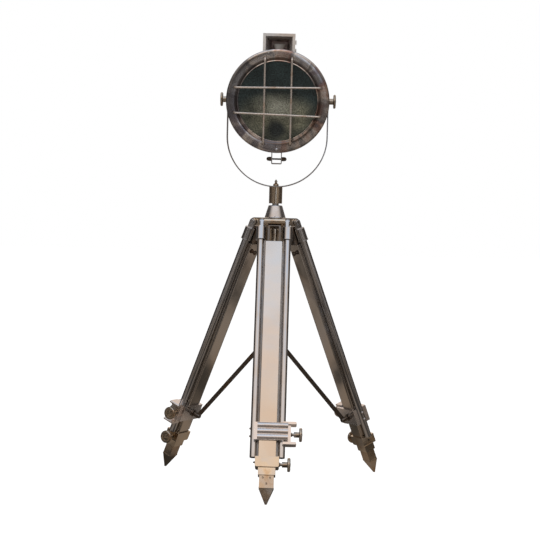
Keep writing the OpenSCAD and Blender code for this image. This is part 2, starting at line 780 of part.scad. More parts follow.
module leg_foot(i) color(warm) {
    intersection() {
        at_leg(i) difference() {
            union() {
                leg_box(foot_w - 2 * bar_wall - 2 * seat_fit, foot_d - 2 * bar_wall - 2 * seat_fit,
                    sleeve_s, sleeve_end_s);
                leg_box(foot_w + 2 * foot_lip, foot_d + 2 * foot_lip, sleeve_end_s - foot_lip_h,
                    sleeve_end_s);
                spike();
            }
            foot_screw_holes();
        }
        translate([0, axis_y, foot_r / 2]) cube([4 * foot_r, 4 * foot_r, foot_r], center = true);
    }
    at_leg(i) difference() {
        leg_box(foot_w, foot_d, nose_end_s - bar_hidden, sleeve_end_s - foot_lip_h);
        leg_box(foot_w - 2 * bar_wall, foot_d - 2 * bar_wall, nose_end_s - bar_hidden - over,
            sleeve_end_s - foot_lip_h + over);
        foot_screw_holes();
    }
    at_leg(i) for (p = foot_screw_places()) translate([p[0], -foot_d / 2 - seat_fit, -p[1]]) to_front() {
        cylinder(d = foot_screw_d, h = foot_screw_head_h);
        translate([0, 0, -foot_screw_len]) cylinder(d = foot_screw_shank_d, h = foot_screw_len
            + foot_screw_head_h / 2);
    }
}

module leg_clamp_knob(i) color(bright) at_leg(i) translate([clamp_right + web_t + face_gap, 0,
    -clamp_knob_s]) knob(clamp_right + web_t + face_gap - panel_w / 2 - pad_gap);

module leg_foot_knob(i) color(bright) at_leg(i) translate([shoe_w / 2 + face_gap, 0, -foot_knob_s])
    knob(shoe_w / 2 + face_gap - foot_w / 2 - pad_gap);

// Head: the light's axis is -Y, so shapes turned round it are drawn up Z and then laid to the front

module drum() color(dark) at_head() difference() {
    to_front() rotate_extrude($fn = 120) {
        translate([drum_r - drum_wall, -drum_back_y]) square([drum_wall, drum_len]);
        translate([flange_in_r, drum_y - drum_wall]) square([drum_r - flange_in_r, drum_wall]);
    }
    for (side = [0, 1]) mirror([side, 0, 0]) x_rod(stud_d + 2 * seat_fit, drum_r / 2, yoke_r);
    translate([0, -vent_y, drum_r / 2]) cylinder(d = vent_neck_d + 2 * seat_fit, h = drum_r);
}

// Point of the dome at a share of its radius, and grown outwards
function dome_point(r, grow) = [r, dome_r - dome_rise - drum_back_y - sqrt((dome_r + grow)
    * (dome_r + grow) - r * r)];

module rear_cover() color(dark) at_head() difference() {
    to_front() rotate_extrude($fn = 120) polygon(concat(
        [for (k = [0 : dome_steps]) dome_point((drum_r + ring_clear + drum_wall) * k / dome_steps,
            drum_wall)],
        [[drum_r + ring_clear + drum_wall, cover_lap - drum_back_y], [drum_r + ring_clear, cover_lap
        - drum_back_y], [drum_r + ring_clear, -drum_back_y - seat_fit], [drum_r - 2 * drum_wall,
        -drum_back_y - seat_fit]],
        [for (k = [dome_steps : -1 : 0]) dome_point((drum_r - 2 * drum_wall) * k / dome_steps, 0)]));
    translate([0, drum_back_y, gland_z]) rotate([-90, 0, 0]) cylinder(d = gland_body_d + 2 * seat_fit,
        h = 2 * dome_rise);
}

gland_face_y = drum_back_y + dome_rise - dome_r + sqrt((dome_r + drum_wall) * (dome_r + drum_wall)
    - (abs(gland_z) - gland_nut_d / 2) * (abs(gland_z) - gland_nut_d / 2));

module cable_gland() color(dark) at_head() translate([0, gland_face_y, gland_z]) rotate([-90, 0, 0])
    difference() {
        union() {
            translate([0, 0, -gland_in]) cylinder(d = gland_body_d, h = gland_in + gland_out);
            translate([0, 0, seat_fit]) cylinder(d = gland_nut_d, h = gland_nut_t);
        }
        translate([0, 0, -gland_in - over]) cylinder(d = gland_bore_d, h = gland_in + gland_out + 2 * over);
    }

module hood_body(grow) intersection() {
    translate([0, 0, hood_foot]) linear_extrude(hood_top - hood_foot) polygon([
        [-hood_w / 2 + hood_edge - grow, -hood_front_y - grow], [hood_w / 2 - hood_edge + grow,
        -hood_front_y - grow], [hood_back_w / 2 + grow, hood_back_y + grow], [-hood_back_w / 2 - grow,
        hood_back_y + grow]]);
    translate([-hood_w, 0, 0]) rotate([90, 0, 90]) linear_extrude(2 * hood_w) polygon([
        [-hood_front_y - grow, 0], [hood_back_y + grow, 0], [hood_back_y + grow, hood_top
        - hood_back_drop + grow], [-hood_front_y - grow, hood_top - hood_edge + grow]]);
}

module vent_hood() color(warm) at_head() difference() {
    union() {
        difference() {
            hood_body(0);
            intersection() {
                hood_body(-hood_wall);
                translate([-hood_w, -hood_front_y, 0]) cube([2 * hood_w, hood_front_y + hood_back_y,
                    hood_top]);
            }
            translate([-hood_w / 2 + hood_bar, -hood_front_y - over, 0]) cube([hood_w - 2 * hood_bar,
                over + 2 * hood_wall, hood_top - hood_bar]);
        }
        difference() {
            translate([-hood_w / 2, -hood_front_y - hood_frame_t, hood_foot]) cube([hood_w, hood_frame_t
                + over / 2, hood_top - hood_foot]);
            translate([-hood_w / 2 + hood_bar, -hood_front_y - hood_frame_t - over, 0]) cube([hood_w
                - 2 * hood_bar, hood_frame_t + 2 * over, hood_top - hood_bar]);
        }
        for (drop = knuckle_drops) translate([hood_w / 2, -hood_front_y + hood_frame_t, hood_top - drop
            - knuckle_h / 2]) cylinder(d = knuckle_d, h = knuckle_h);
    }
    translate([0, hood_back_y + over + hood_wall, 0]) to_front() cylinder(r = drum_r + ring_clear,
        h = hood_front_y + hood_back_y + hood_wall + hood_frame_t + 2 * over, $fn = 120);
}

module vent_cap() color(warm) at_head() translate([0, -vent_y, drum_r]) difference() {
    rotate_extrude() polygon([[0, -2 * drum_wall], [vent_neck_d / 2, -2 * drum_wall],
        [vent_neck_d / 2, vent_neck_h], [vent_cap_d / 2 * vent_foot_share, vent_neck_h],
        [vent_cap_d / 2, vent_neck_h + vent_dish_h], [vent_cap_d / 4, vent_neck_h + vent_dish_h
        + vent_crown], [0, vent_neck_h + vent_dish_h + vent_crown]]);
    for (k = [0 : vent_slots - 1]) rotate([0, 0, (k + 0.5) * 360 / vent_slots])
        translate([vent_neck_d / 4, -vent_slot_w / 2, vent_slot_up])
            cube([vent_neck_d, vent_slot_w, vent_slot_h]);
}

// Section of the front ring: a spun sheet with an outer skirt, a collar that slides on the drum, and a
// dished inner edge that holds the glass
module bezel() color(dark) at_head() to_front() rotate_extrude($fn = 160) difference() {
    union() {
        polygon(concat([[drum_r + ring_clear, face_y - ring_depth], [ring_r, face_y - ring_depth]],
            arc([ring_r - ring_round, face_y - ring_round], ring_round, 0, 90, 6),
            [[ring_flat_in, face_y], [ring_in_r + ring_dish, face_y - ring_dish],
            [ring_in_r, face_y - ring_dish - ring_sheet / 2], [ring_in_r, glass_y + glass_gap],
            [drum_r + ring_clear, glass_y + glass_gap]]));
        translate([ring_in_r + ring_sheet / 2, face_y - ring_dish - ring_sheet / 2])
            circle(d = ring_sheet);
    }
    polygon([[drum_r + ring_clear + ring_sheet, face_y - ring_depth - over],
        [ring_r - ring_sheet, face_y - ring_depth - over], [ring_r - ring_sheet, face_y
        - ring_round], [ring_r - ring_round, face_y - ring_sheet], [drum_r + ring_clear + ring_sheet,
        face_y - ring_sheet]]);
    polygon([[ring_in_r + glass_over + ring_sheet, glass_y - over], [drum_r + ring_clear, glass_y - over],
        [drum_r + ring_clear, face_y - ring_sheet], [ring_flat_in + ring_sheet, face_y - ring_sheet],
        [ring_in_r + glass_over + ring_sheet, glass_y + ring_sheet]]);
}

module bezel_screws() color(bright) at_head() for (k = [0 : len(ring_screw_ds) - 1])
    translate([ring_screw_r * cos(ring_screw_angles[k]), -face_y - seat_fit, ring_screw_r
        * sin(ring_screw_angles[k])]) to_front() intersection() {
            cylinder(d = ring_screw_ds[k], h = ring_screw_ds[k]);
            translate([0, 0, -ring_screw_ds[k] * ring_screw_sink_share]) sphere(d = ring_screw_ds[k]
                * ring_screw_ball_share);
        }

module lens() color(smoke, 0.7) at_head() to_front() translate([0, 0, glass_y - glass_t])
    cylinder(r = ring_in_r + glass_over, h = glass_t, $fn = 120);

module lens_gasket() color("black") at_head() to_front() translate([0, 0, drum_y]) difference() {
    cylinder(r = ring_in_r + glass_over, h = gasket_t, $fn = 120);
    translate([0, 0, -over]) cylinder(r = ring_in_r + glass_over - gasket_w, h = gasket_t + 2 * over,
        $fn = 120);
}

// Guard rod with both ends bent back to the ring, drawn along X. The bends' circles start where the
// rods' circles do
module guard_rod(off, y) {
    half = sqrt(guard_r * guard_r - off * off);
    x_rod(guard_rod_d, -half + guard_bend, half - guard_bend);
    for (side = [1, -1]) rotate([0, (1 - side) * 90, 0]) translate([half - guard_bend, guard_bend, 0]) {
        rotate([0, 0, -90]) rotate_extrude(angle = 90) translate([guard_bend, 0])
            rotate([0, 0, -side * 90]) circle(d = guard_rod_d);
        translate([guard_bend, 0, 0]) rotate([-90, 0, 0]) rotate([0, 0, side * 90])
            cylinder(d = guard_rod_d, h = y - guard_bend);
    }
}

module guard() color(bright) at_head() translate([0, -face_y, 0]) {
    for (side = [-1, 1]) translate([side * guard_off, -guard_front, 0]) rotate([0, 90, 0])
        guard_rod(guard_off, guard_front);
    for (row = [[1, guard_tilt_high], [-1, guard_tilt_low]]) rotate([0, row[1], 0])
        translate([0, -guard_front - guard_rod_d + guard_weld, row[0] * guard_off])
            guard_rod(guard_off, guard_front + guard_rod_d - guard_weld);
}

function bowl(k) = let (t = k / reflector_steps, r = reflector_hole_r + (reflector_r - reflector_hole_r)
    * (1 - t)) [r, drum_y - drum_wall - reflector_depth * (1 - (r * r) / (reflector_r * reflector_r))];

module reflector() color(bright) at_head() to_front() rotate_extrude($fn = 96) {
    polygon(concat([for (k = [0 : reflector_steps]) bowl(k)], [for (k = [reflector_steps : -1 : 0])
        bowl(k) + [reflector_wall, -reflector_wall]]));
    translate([reflector_r - reflector_wall, drum_y - drum_wall - reflector_wall - seat_fit])
        square([reflector_rim, reflector_wall]);
}

module lamp_holder() color("ivory") at_head() rotate([-90, 0, 0]) difference() {
    union() {
        translate([0, 0, holder_y]) cylinder(d = holder_d, h = holder_len);
        translate([0, 0, holder_y + holder_len - over]) cylinder(d = holder_post_d, h = drum_back_y
            + dome_rise - holder_y - holder_len + over - face_gap);
        translate([0, 0, drum_back_y + dome_rise - holder_flange_t - holder_flange_t / 2])
            cylinder(d = holder_flange_d, h = holder_flange_t);
    }
    translate([0, 0, holder_y - over]) cylinder(d = holder_bore_d, h = holder_bore + over);
}

module bulb() color("white", 0.6) at_head() rotate([-90, 0, 0]) {
    half = asin(bulb_base_d * bulb_neck_share / bulb_r);
    translate([0, 0, bulb_y]) rotate_extrude($fn = 48) polygon(concat(
        [[bulb_base_d * bulb_neck_share, holder_y - bulb_y]],
        arc([0, 0], bulb_r, 90 - half, -90, bulb_steps),
        arc([0, 0], bulb_r - bulb_wall, -90, 90 - half, bulb_steps),
        [[bulb_base_d * bulb_neck_share - bulb_wall, holder_y - bulb_y]]));
    translate([0, 0, holder_y]) cylinder(d = bulb_base_d, h = holder_bore - face_gap);
}

module shackle() color(bright) at_head() translate([0, -shackle_y, 0]) difference() {
    union() {
        translate([-shackle_w / 2, -shackle_d / 2, -shackle_drop + shackle_bend]) cube([shackle_w,
            shackle_d, shackle_drop - shackle_bend - drum_r + shackle_bend]);
        translate([-shackle_w / 2 + shackle_bend, -shackle_d / 2, -shackle_drop]) cube([shackle_w
            - 2 * shackle_bend, shackle_d, 2 * shackle_bend]);
        for (side = [-1, 1]) translate([side * (shackle_w / 2 - shackle_bend), shackle_d / 2,
            -shackle_drop + shackle_bend]) to_front() cylinder(r = shackle_bend, h = shackle_d);
    }
    translate([-shackle_w / 2 + shackle_t, -shackle_d, -shackle_drop + shackle_t]) cube([shackle_w
        - 2 * shackle_t, 2 * shackle_d, shackle_drop]);
    translate([0, shackle_d, 0]) to_front() cylinder(r = drum_r + seat_fit, h = 2 * shackle_d,
        $fn = 120);
    translate([0, 0, -shackle_drop + bolt_up]) x_rod(bolt_d + 2 * seat_fit, -shackle_w, shackle_w);
}

module shackle_bolt() color(dark) at_head() translate([0, -shackle_y, -shackle_drop + bolt_up]) {
    x_rod(bolt_d, -shackle_w / 2 - nut_t, shackle_w / 2 + nut_t);
    for (side = [0, 1]) mirror([side, 0, 0]) translate([shackle_w / 2 + seat_fit, 0, 0]) {
        along_x() cylinder(d = nut_af, h = nut_t, $fn = 6);
        x_rod(2 * acorn_r, nut_t - over, nut_t + acorn_len - acorn_r);
        translate([nut_t + acorn_len - acorn_r, 0, 0]) sphere(r = acorn_r);
    }
}

module tilt_studs() color(bright) at_head() for (side = [0, 1]) mirror([side, 0, 0]) {
    difference() {
        x_rod(boss_d, drum_r - boss_t, yoke_r - yoke_t - face_gap);
        translate([0, boss_d, 0]) to_front() cylinder(r = drum_r + seat_fit, h = 2 * boss_d, $fn = 120);
    }
    x_rod(stud_d, drum_r - drum_wall - over, yoke_r + stud_end);
}

module tilt_knob(side) color(warm) at_head() mirror([side, 0, 0]) difference() {
    translate([yoke_r + face_gap, 0, 0]) {
        x_rod(tilt_stem_d, 0, tilt_stem_len);
        translate([tilt_stem_len, 0, 0]) along_x() knob_disc(tilt_knob_d, tilt_knob_t);
    }
    x_rod(stud_d + 2 * run_fit, yoke_r, yoke_r + stud_end + face_gap);
}

hub_casting();
hinge_pins();
hub_cone();
spigot();
strut_hub();
swivel_cap();
yoke();
finial();
drum();
rear_cover();
cable_gland();
vent_hood();
vent_cap();
bezel();
bezel_screws();
lens();
lens_gasket();
guard();
reflector();
lamp_holder();
bulb();
shackle();
shackle_bolt();
tilt_studs();
tilt_knob(1);  // tilt_knob_left
tilt_knob(0);  // tilt_knob_right
for (i = [1 : leg_count]) {
    leg_rods(i);
    leg_top_lugs(i);
    leg_clamp(i);
    leg_strut_post(i);
    leg_panel(i);
    leg_panel_fittings(i);
    leg_shoe(i);
    leg_foot(i);
    leg_clamp_knob(i);
    leg_foot_knob(i);
    leg_strut(i);
}
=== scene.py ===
# Tripod spotlight floor lamp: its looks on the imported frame. Metres, Z up, the light shines towards -Y
from math import asin, copysign, cos, pi, radians, sin, sqrt

import bmesh
import bpy
from mathutils import Matrix, Vector


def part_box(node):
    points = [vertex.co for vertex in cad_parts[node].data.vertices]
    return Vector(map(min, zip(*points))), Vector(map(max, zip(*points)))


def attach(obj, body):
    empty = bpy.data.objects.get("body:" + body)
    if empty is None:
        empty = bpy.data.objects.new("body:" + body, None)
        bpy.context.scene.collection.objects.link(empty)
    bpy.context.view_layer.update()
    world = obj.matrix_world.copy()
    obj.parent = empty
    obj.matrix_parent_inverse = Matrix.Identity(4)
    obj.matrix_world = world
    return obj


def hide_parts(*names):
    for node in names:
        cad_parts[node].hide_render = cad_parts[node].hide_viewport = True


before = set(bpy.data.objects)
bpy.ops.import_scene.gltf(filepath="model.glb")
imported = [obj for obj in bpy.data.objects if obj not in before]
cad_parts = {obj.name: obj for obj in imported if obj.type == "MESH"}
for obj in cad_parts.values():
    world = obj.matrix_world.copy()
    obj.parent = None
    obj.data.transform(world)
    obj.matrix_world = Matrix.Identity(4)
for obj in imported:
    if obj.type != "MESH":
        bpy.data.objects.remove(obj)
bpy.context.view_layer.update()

# Places that many pieces share, as in the CAD. Each leg is made in its own frame: X across the leg,
# -Y outwards, -Z down the leg from its hinge pin. The head's pieces stand on +Z, which faces the light.
# Sizes in the pieces' dictionaries are in millimetres
stand = {
    "hingeHeight": 0.871,
    "hingeRadius": 0.061,
    "lean": 22.6806,
    "legTurn": 120.0,
    "pivotHeight": 1.276,
    "headTilt": 6.0,
}
mm = 0.001


def spun(degrees, axis):
    return Matrix.Rotation(radians(degrees), 4, axis)


def boxMiddle(node):
    low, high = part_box(node)
    return (Vector(low) + Vector(high)) / 2


axisPlace = Matrix.Translation((0, boxMiddle("spigot").y, 0))
pivotPlace = axisPlace @ Matrix.Translation((0, 0, stand["pivotHeight"]))
headPlace = pivotPlace @ spun(stand["headTilt"], "X")
frontPlace = headPlace @ spun(90, "X")
alongX = spun(90, "Y")


def legPlace(leg):
    turn = spun(-stand["legTurn"] * (leg - 1), "Z")
    hinge = Matrix.Translation((0, -stand["hingeRadius"], stand["hingeHeight"]))
    return axisPlace @ turn @ hinge @ spun(-stand["lean"], "X")


def linked(name, data):
    item = bpy.data.objects.new(name, data)
    bpy.context.scene.collection.objects.link(item)
    return item


# Camera at the photograph's angle
view = {"place": (0.0749, -4.8116, 0.8886), "lens": 97.16, "yaw": -1.026, "pitch": -2.11, "roll": 1.465}


def makeCamera():
    yaw, pitch, roll = (radians(view[key]) for key in ("yaw", "pitch", "roll"))
    ahead = Vector((sin(yaw) * cos(pitch), cos(yaw) * cos(pitch), sin(pitch)))
    level = Vector((cos(yaw), -sin(yaw), 0))
    up = level.cross(ahead)
    right = level * cos(roll) + up * sin(roll)
    up = up * cos(roll) - level * sin(roll)
    data = bpy.data.cameras.new("photoCamera")
    data.sensor_width = 36
    data.lens = view["lens"]
    camera = linked("photoCamera", data)
    turn = Matrix((right, up, -ahead)).transposed().to_4x4()
    camera.matrix_world = Matrix.Translation(view["place"]) @ turn
    bpy.context.scene.camera = camera


makeCamera()
print("camera set")


# Node helpers
def tone(red, green, blue):  # a colour as picked on a screen, made linear
    return tuple((c / 255 / 12.92) if c < 11 else ((c / 255 + 0.055) / 1.055) ** 2.4
                 for c in (red, green, blue)) + (1.0,)


def put(tree, kind, inputs=None, **settings):
    node = tree.nodes.new(kind)
    for key, value in settings.items():
        setattr(node, key, value)
    for key, value in (inputs or {}).items():
        if isinstance(value, bpy.types.Node):
            value = value.outputs[0]
        if isinstance(value, bpy.types.NodeSocket):
            tree.links.new(value, node.inputs[key])
        else:
            node.inputs[key].default_value = value
    return node


def blend(tree, factor, first, second, way="MIX"):
    node = put(tree, "ShaderNodeMix", {0: factor, 6: first, 7: second}, data_type="RGBA", blend_type=way)
    return node.outputs[2]


def sums(tree, way, first, second=0.0):
    return put(tree, "ShaderNodeMath", {0: first, 1: second}, operation=way).outputs[0]


def vectors(tree, way, first, second=(0, 0, 0), result="Vector"):
    return put(tree, "ShaderNodeVectorMath", {0: first, 1: second}, operation=way).outputs[result]


def axes(tree, where):
    return put(tree, "ShaderNodeSeparateXYZ", {0: where}).outputs


def noise(tree, where, scale, detail, **more):
    inputs = {"Vector": where, "Scale": scale, "Detail": detail, **more}
    return put(tree, "ShaderNodeTexNoise", inputs).outputs["Fac"]


def relief(tree, height, strength, distance, **more):
    inputs = {"Height": height, "Strength": strength, "Distance": distance, **more}
    return put(tree, "ShaderNodeBump", inputs).outputs["Normal"]


def stretch(tree, value, low, high, toLow=0.0, toHigh=1.0, smooth=False):
    node = put(tree, "ShaderNodeMapRange", {"Value": value, "From Min": low, "From Max": high,
                                            "To Min": toLow, "To Max": toHigh})
    if smooth:
        node.interpolation_type = "SMOOTHSTEP"
    return node.outputs["Result"]


def peak(tree, value, middle, inner, outer):
    # 1 near a value, 0 away from it
    gap = sums(tree, "ABSOLUTE", sums(tree, "SUBTRACT", value, middle))
    return stretch(tree, gap, inner, outer, 1.0, 0.0, smooth=True)


def fade(tree, where, centre, near, far):
    # 1 round a centre, falling to 0 further out
    gap = vectors(tree, "DISTANCE", where, centre, "Value")
    return stretch(tree, gap, near, far, 1.0, 0.0, smooth=True)


def newTree(name, kind, inputs, outputs):
    # A node group with named sockets, from (label, kind, value) rows
    tree = bpy.data.node_groups.new(name, kind)
    for side, rows in (("INPUT", inputs), ("OUTPUT", outputs)):
        for label, socketKind, *value in rows:
            socket = tree.interface.new_socket(label, in_out=side, socket_type="NodeSocket" + socketKind)
            if value:
                socket.default_value = value[0]
    return tree, tree.nodes.new("NodeGroupInput").outputs, tree.nodes.new("NodeGroupOutput").inputs


def cloudGroup():
    # Slow drifts of colour, as old plating and polish have them
    tree, given, out = newTree("platingClouds", "ShaderNodeTree", [
        ("Vector", "Vector"), ("Main", "Color", (0.5, 0.5, 0.5, 1)), ("Cool", "Color", (0.5, 0.5, 0.5, 1)),
        ("Warm", "Color", (0.4, 0.3, 0.2, 1)), ("Size", "Float", 8.0), ("Amount", "Float", 0.5)],
        [("Color", "Color")])
    broad = noise(tree, given["Vector"], given["Size"], 3.0, Distortion=0.6)
    other = noise(tree, vectors(tree, "ADD", given["Vector"], (3.1, 7.7, 1.3)), given["Size"], 2.0)
    coolPart = sums(tree, "MULTIPLY", stretch(tree, other, 0.45, 0.62, smooth=True), given["Amount"])
    warmPart = sums(tree, "MULTIPLY", stretch(tree, broad, 0.5, 0.68, smooth=True), given["Amount"])
    colour = blend(tree, coolPart, given["Main"], given["Cool"])
    tree.links.new(blend(tree, warmPart, colour, given["Warm"]), out["Color"])
    return tree


def polishGroup():
    # Hairlines along the piece and small dents: they move roughness and height
    tree, given, out = newTree("polishMarks", "ShaderNodeTree", [
        ("Vector", "Vector"), ("Fineness", "Float", 900.0), ("Pull", "Float", 0.04), ("Low", "Float", 0.12),
        ("High", "Float", 0.3)], [("Roughness", "Float"), ("Height", "Float")])
    pull = put(tree, "ShaderNodeCombineXYZ", {"X": 1.0, "Y": 1.0, "Z": given["Pull"]}).outputs[0]
    pulled = vectors(tree, "MULTIPLY", given["Vector"], pull)
    hair = noise(tree, pulled, given["Fineness"], 4.0, Roughness=0.65)
    smear = noise(tree, given["Vector"], 26.0, 3.0, Roughness=0.6)
    both = sums(tree, "ADD", sums(tree, "MULTIPLY", hair, 0.45), sums(tree, "MULTIPLY", smear, 0.55))
    wear = stretch(tree, both, 0.36, 0.66)
    tree.links.new(stretch(tree, wear, 0.0, 1.0, given["Low"], given["High"]), out["Roughness"])
    tree.links.new(hair, out["Height"])
    return tree


def dustGroup():
    # Thin dust and fingerprints on what faces up
    tree, given, out = newTree("thinDust", "ShaderNodeTree", [
        ("Vector", "Vector"), ("Color", "Color", (0.5, 0.5, 0.5, 1)), ("Roughness", "Float", 0.2),
        ("Dust", "Color", (0.45, 0.42, 0.38, 1)), ("Amount", "Float", 0.3)],
        [("Color", "Color"), ("Roughness", "Float")])
    upward = axes(tree, put(tree, "ShaderNodeTexCoord").outputs["Normal"])["Z"]
    flecks = noise(tree, given["Vector"], 140.0, 5.0, Roughness=0.7)
    lying = sums(tree, "MULTIPLY", stretch(tree, upward, 0.35, 1.0, smooth=True),
                 stretch(tree, flecks, 0.4, 0.65))
    marks = stretch(tree, flecks, 0.6, 0.78, 0.0, 0.25)
    film = sums(tree, "MULTIPLY", sums(tree, "ADD", lying, marks), given["Amount"])
    rough = sums(tree, "ADD", given["Roughness"], sums(tree, "MULTIPLY", film, 0.5))
    tree.links.new(blend(tree, film, given["Color"], given["Dust"]), out["Color"])
    tree.links.new(rough, out["Roughness"])
    return tree


effects = {"clouds": cloudGroup(), "polish": polishGroup(), "dust": dustGroup()}


def effect(tree, name, inputs):
    return put(tree, "ShaderNodeGroup", inputs, node_tree=effects[name]).outputs


def emptyMaterial(name):
    material = bpy.data.materials.new(name)
    material.use_nodes = True
    material.node_tree.nodes.clear()
    return material, material.node_tree


def madeAt(tree):  # the place on a piece where it was made, which stays with it when it moves
    return put(tree, "ShaderNodeAttribute", attribute_name="madeAt").outputs["Vector"]


def surface(tree, inputs):
    shader = put(tree, "ShaderNodeBsdfPrincipled", inputs)
    put(tree, "ShaderNodeOutputMaterial", {"Surface": shader})


def coat(name, main, cool, warm, size=9.0, amount=0.6, low=0.12, high=0.3, fineness=900.0, pull=0.04,
         bump=0.015, depth=0.0004, dust=0.2, wave=0.0, paintedLightSlope=None, metallic=1.0, extra=None):
    material, tree = emptyMaterial(name)
    where = madeAt(tree)
    colour = effect(tree, "clouds", {"Vector": where, "Main": tone(*main), "Cool": tone(*cool),
                                     "Warm": tone(*warm), "Size": size, "Amount": amount})["Color"]
    # The tint slope stands in for light and shade: it is painted
    if paintedLightSlope:  # a slow change of tint along the piece
        share = stretch(tree, axes(tree, where)[paintedLightSlope["axis"]], paintedLightSlope["from"], paintedLightSlope["to"], smooth=True)
        colour = blend(tree, share, colour, tone(*paintedLightSlope["tint"]), "MULTIPLY")
    marks = effect(tree, "polish", {"Vector": where, "Fineness": fineness, "Pull": pull, "Low": low,
                                    "High": high})
    film = effect(tree, "dust", {"Vector": where, "Color": colour, "Roughness": marks["Roughness"],
                                 "Amount": dust})
    normal = relief(tree, marks["Height"], bump, depth)
    if wave:  # hand-polished sheet is never quite flat
        normal = relief(tree, noise(tree, where, 17.0, 1.0), wave, 0.004, Normal=normal)
    surface(tree, {"Base Color": film["Color"], "Metallic": metallic, "Roughness": film["Roughness"],
                   "Normal": normal, **(extra or {})})
    return material


matt = {"size": 60.0, "amount": 0.5, "fineness": 600.0, "pull": 1.0, "bump": 0.2, "depth": 0.0003,
        "dust": 0.3, "metallic": 0.0}
finishes = {
    "rod": coat("polishedNickel", (210, 212, 216), (200, 208, 220), (206, 196, 184), amount=0.45,
                low=0.07, high=0.2),
    # The panel's lower part is painted warmer and darker, a painted reflection
    "panel": coat("brushedPanel", (224, 221, 218), (214, 219, 227), (220, 206, 192), size=4.0, amount=0.5,
                  low=0.1, high=0.2, fineness=1400.0, pull=0.015, bump=0.012, wave=0.2,
                  paintedLightSlope={"axis": "Z", "from": -0.30, "to": -0.78, "tint": (250, 243, 233)}),
    "guide": coat("guideStrip", (150, 146, 142), (140, 144, 150), (150, 134, 116), size=12.0, low=0.3,
                  high=0.5, bump=0.02),
    "cast": coat("polishedCasting", (226, 212, 192), (212, 210, 208), (206, 174, 136), size=22.0,
                 low=0.08, high=0.22, pull=1.0, fineness=500.0, bump=0.02, wave=0.45),
    "foot": coat("wornFoot", (202, 183, 160), (198, 190, 180), (178, 144, 108), size=22.0, amount=0.7,
                 pull=1.0, fineness=500.0, bump=0.03, wave=0.6),
    # The hood's inside is painted darker and pinker towards the back, as painted shade
    "hood": coat("hoodPlating", (224, 219, 214), (208, 205, 206), (212, 190, 170), size=16.0, low=0.2,
                 high=0.4, pull=1.0, fineness=700.0, metallic=0.4,
                 paintedLightSlope={"axis": "Y", "from": -0.02, "to": 0.03, "tint": (204, 190, 190)}),
    "dark": coat("darkNickel", (112, 104, 96), (122, 118, 116), (134, 108, 84), size=24.0, low=0.16,
                 high=0.36, fineness=700.0, pull=0.1),
    "knob": coat("knobPlating", (196, 184, 166), (188, 184, 180), (186, 152, 112), size=40.0, low=0.1,
                 high=0.26, pull=1.0),
    "vent": coat("ventPlating", (206, 202, 196), (196, 196, 198), (200, 178, 156), size=30.0, amount=0.5,
                 low=0.45, high=0.6, pull=1.0, metallic=0.45),
    "satin": coat("satinNickel", (222, 225, 230), (210, 215, 224), (210, 200, 190), size=18.0, amount=0.5,
                  low=0.22, high=0.36, pull=1.0, fineness=1200.0),
    "wire": coat("guardWire", (236, 224, 214), (224, 218, 214), (214, 188, 164), size=26.0, amount=0.7,
                 low=0.14, pull=1.0, metallic=0.85),
    "clamp": coat("clampPlating", (232, 226, 224), (222, 224, 230), (224, 208, 196), size=18.0, amount=0.5,
                  low=0.1, high=0.2, pull=1.0, fineness=500.0, metallic=0.95),
    "screw": coat("screwSteel", (82, 74, 68), (70, 68, 68), (92, 74, 58), size=50.0, amount=0.5, low=0.25,
                  high=0.4, pull=1.0),
    "mirror": coat("reflectorSilver", (196, 196, 190), (180, 188, 192), (200, 190, 160), size=10.0,
                   amount=0.4, low=0.1, high=0.22, pull=1.0, wave=0.3, dust=0.4),
    "bulb": coat("bulbGlass", (236, 232, 218), (220, 222, 216), (236, 232, 218), size=40.0, low=0.2,
                 high=0.4, fineness=420.0, pull=1.0, bump=0.1, dust=0.0, metallic=0.0,
                 extra={"Transmission Weight": 0.7, "IOR": 1.48}),
    "rubber": coat("gasketRubber", (28, 28, 27), (36, 36, 36), (34, 30, 27), low=0.55, high=0.8, **matt),
    "ceramic": coat("holderCeramic", (224, 218, 204), (214, 214, 208), (206, 192, 168), low=0.25, high=0.45,
                    **matt),
}

# Painted reflections on the ring: its tints round its band, by the clock angle in degrees from the top, as
# the eye meets them.
# Its lip, between two radii in metres, is painted darker as shade
ringReflectionTones = {"dark": (118, 122, 129), "grey": (196, 198, 204), "tan": (252, 244, 236),
             "pale": (255, 251, 247), "reddish": (188, 146, 130), "mauve": (152, 144, 154)}
ringReflectionRun = [(-180, "grey"), (-160, "mauve"), (-146, "tan"), (-132, "pale"), (-118, "mauve"), (-90, "dark"),
           (-62, "grey"), (-44, "dark"), (-32, "tan"), (-20, "grey"), (-6, "tan"), (8, "reddish"),
           (22, "dark"), (34, "tan"), (48, "grey"), (62, "mauve"), (76, "reddish"), (90, "tan"),
           (104, "dark"), (118, "reddish"), (132, "tan"), (146, "dark"), (154, "tan"), (166, "reddish"),
           (180, "grey")]
ringLipShade = {"outer": (0.146, 0.139), "inner": (0.1325, 0.1338), "tint": (132, 124, 120), "share": 0.85}


def colourRun(tree, value, stops):
    # A run of colours along a value, from (place, colour) pairs
    node = put(tree, "ShaderNodeValToRGB", {0: value})
    node.color_ramp.interpolation = "B_SPLINE"
    run = node.color_ramp.elements
    while len(run) < len(stops):
        run.new(1.0)
    for spot, (place, colour) in zip(run, stops):
        spot.position = place
        spot.color = tone(*colour)
    return node.outputs[0]


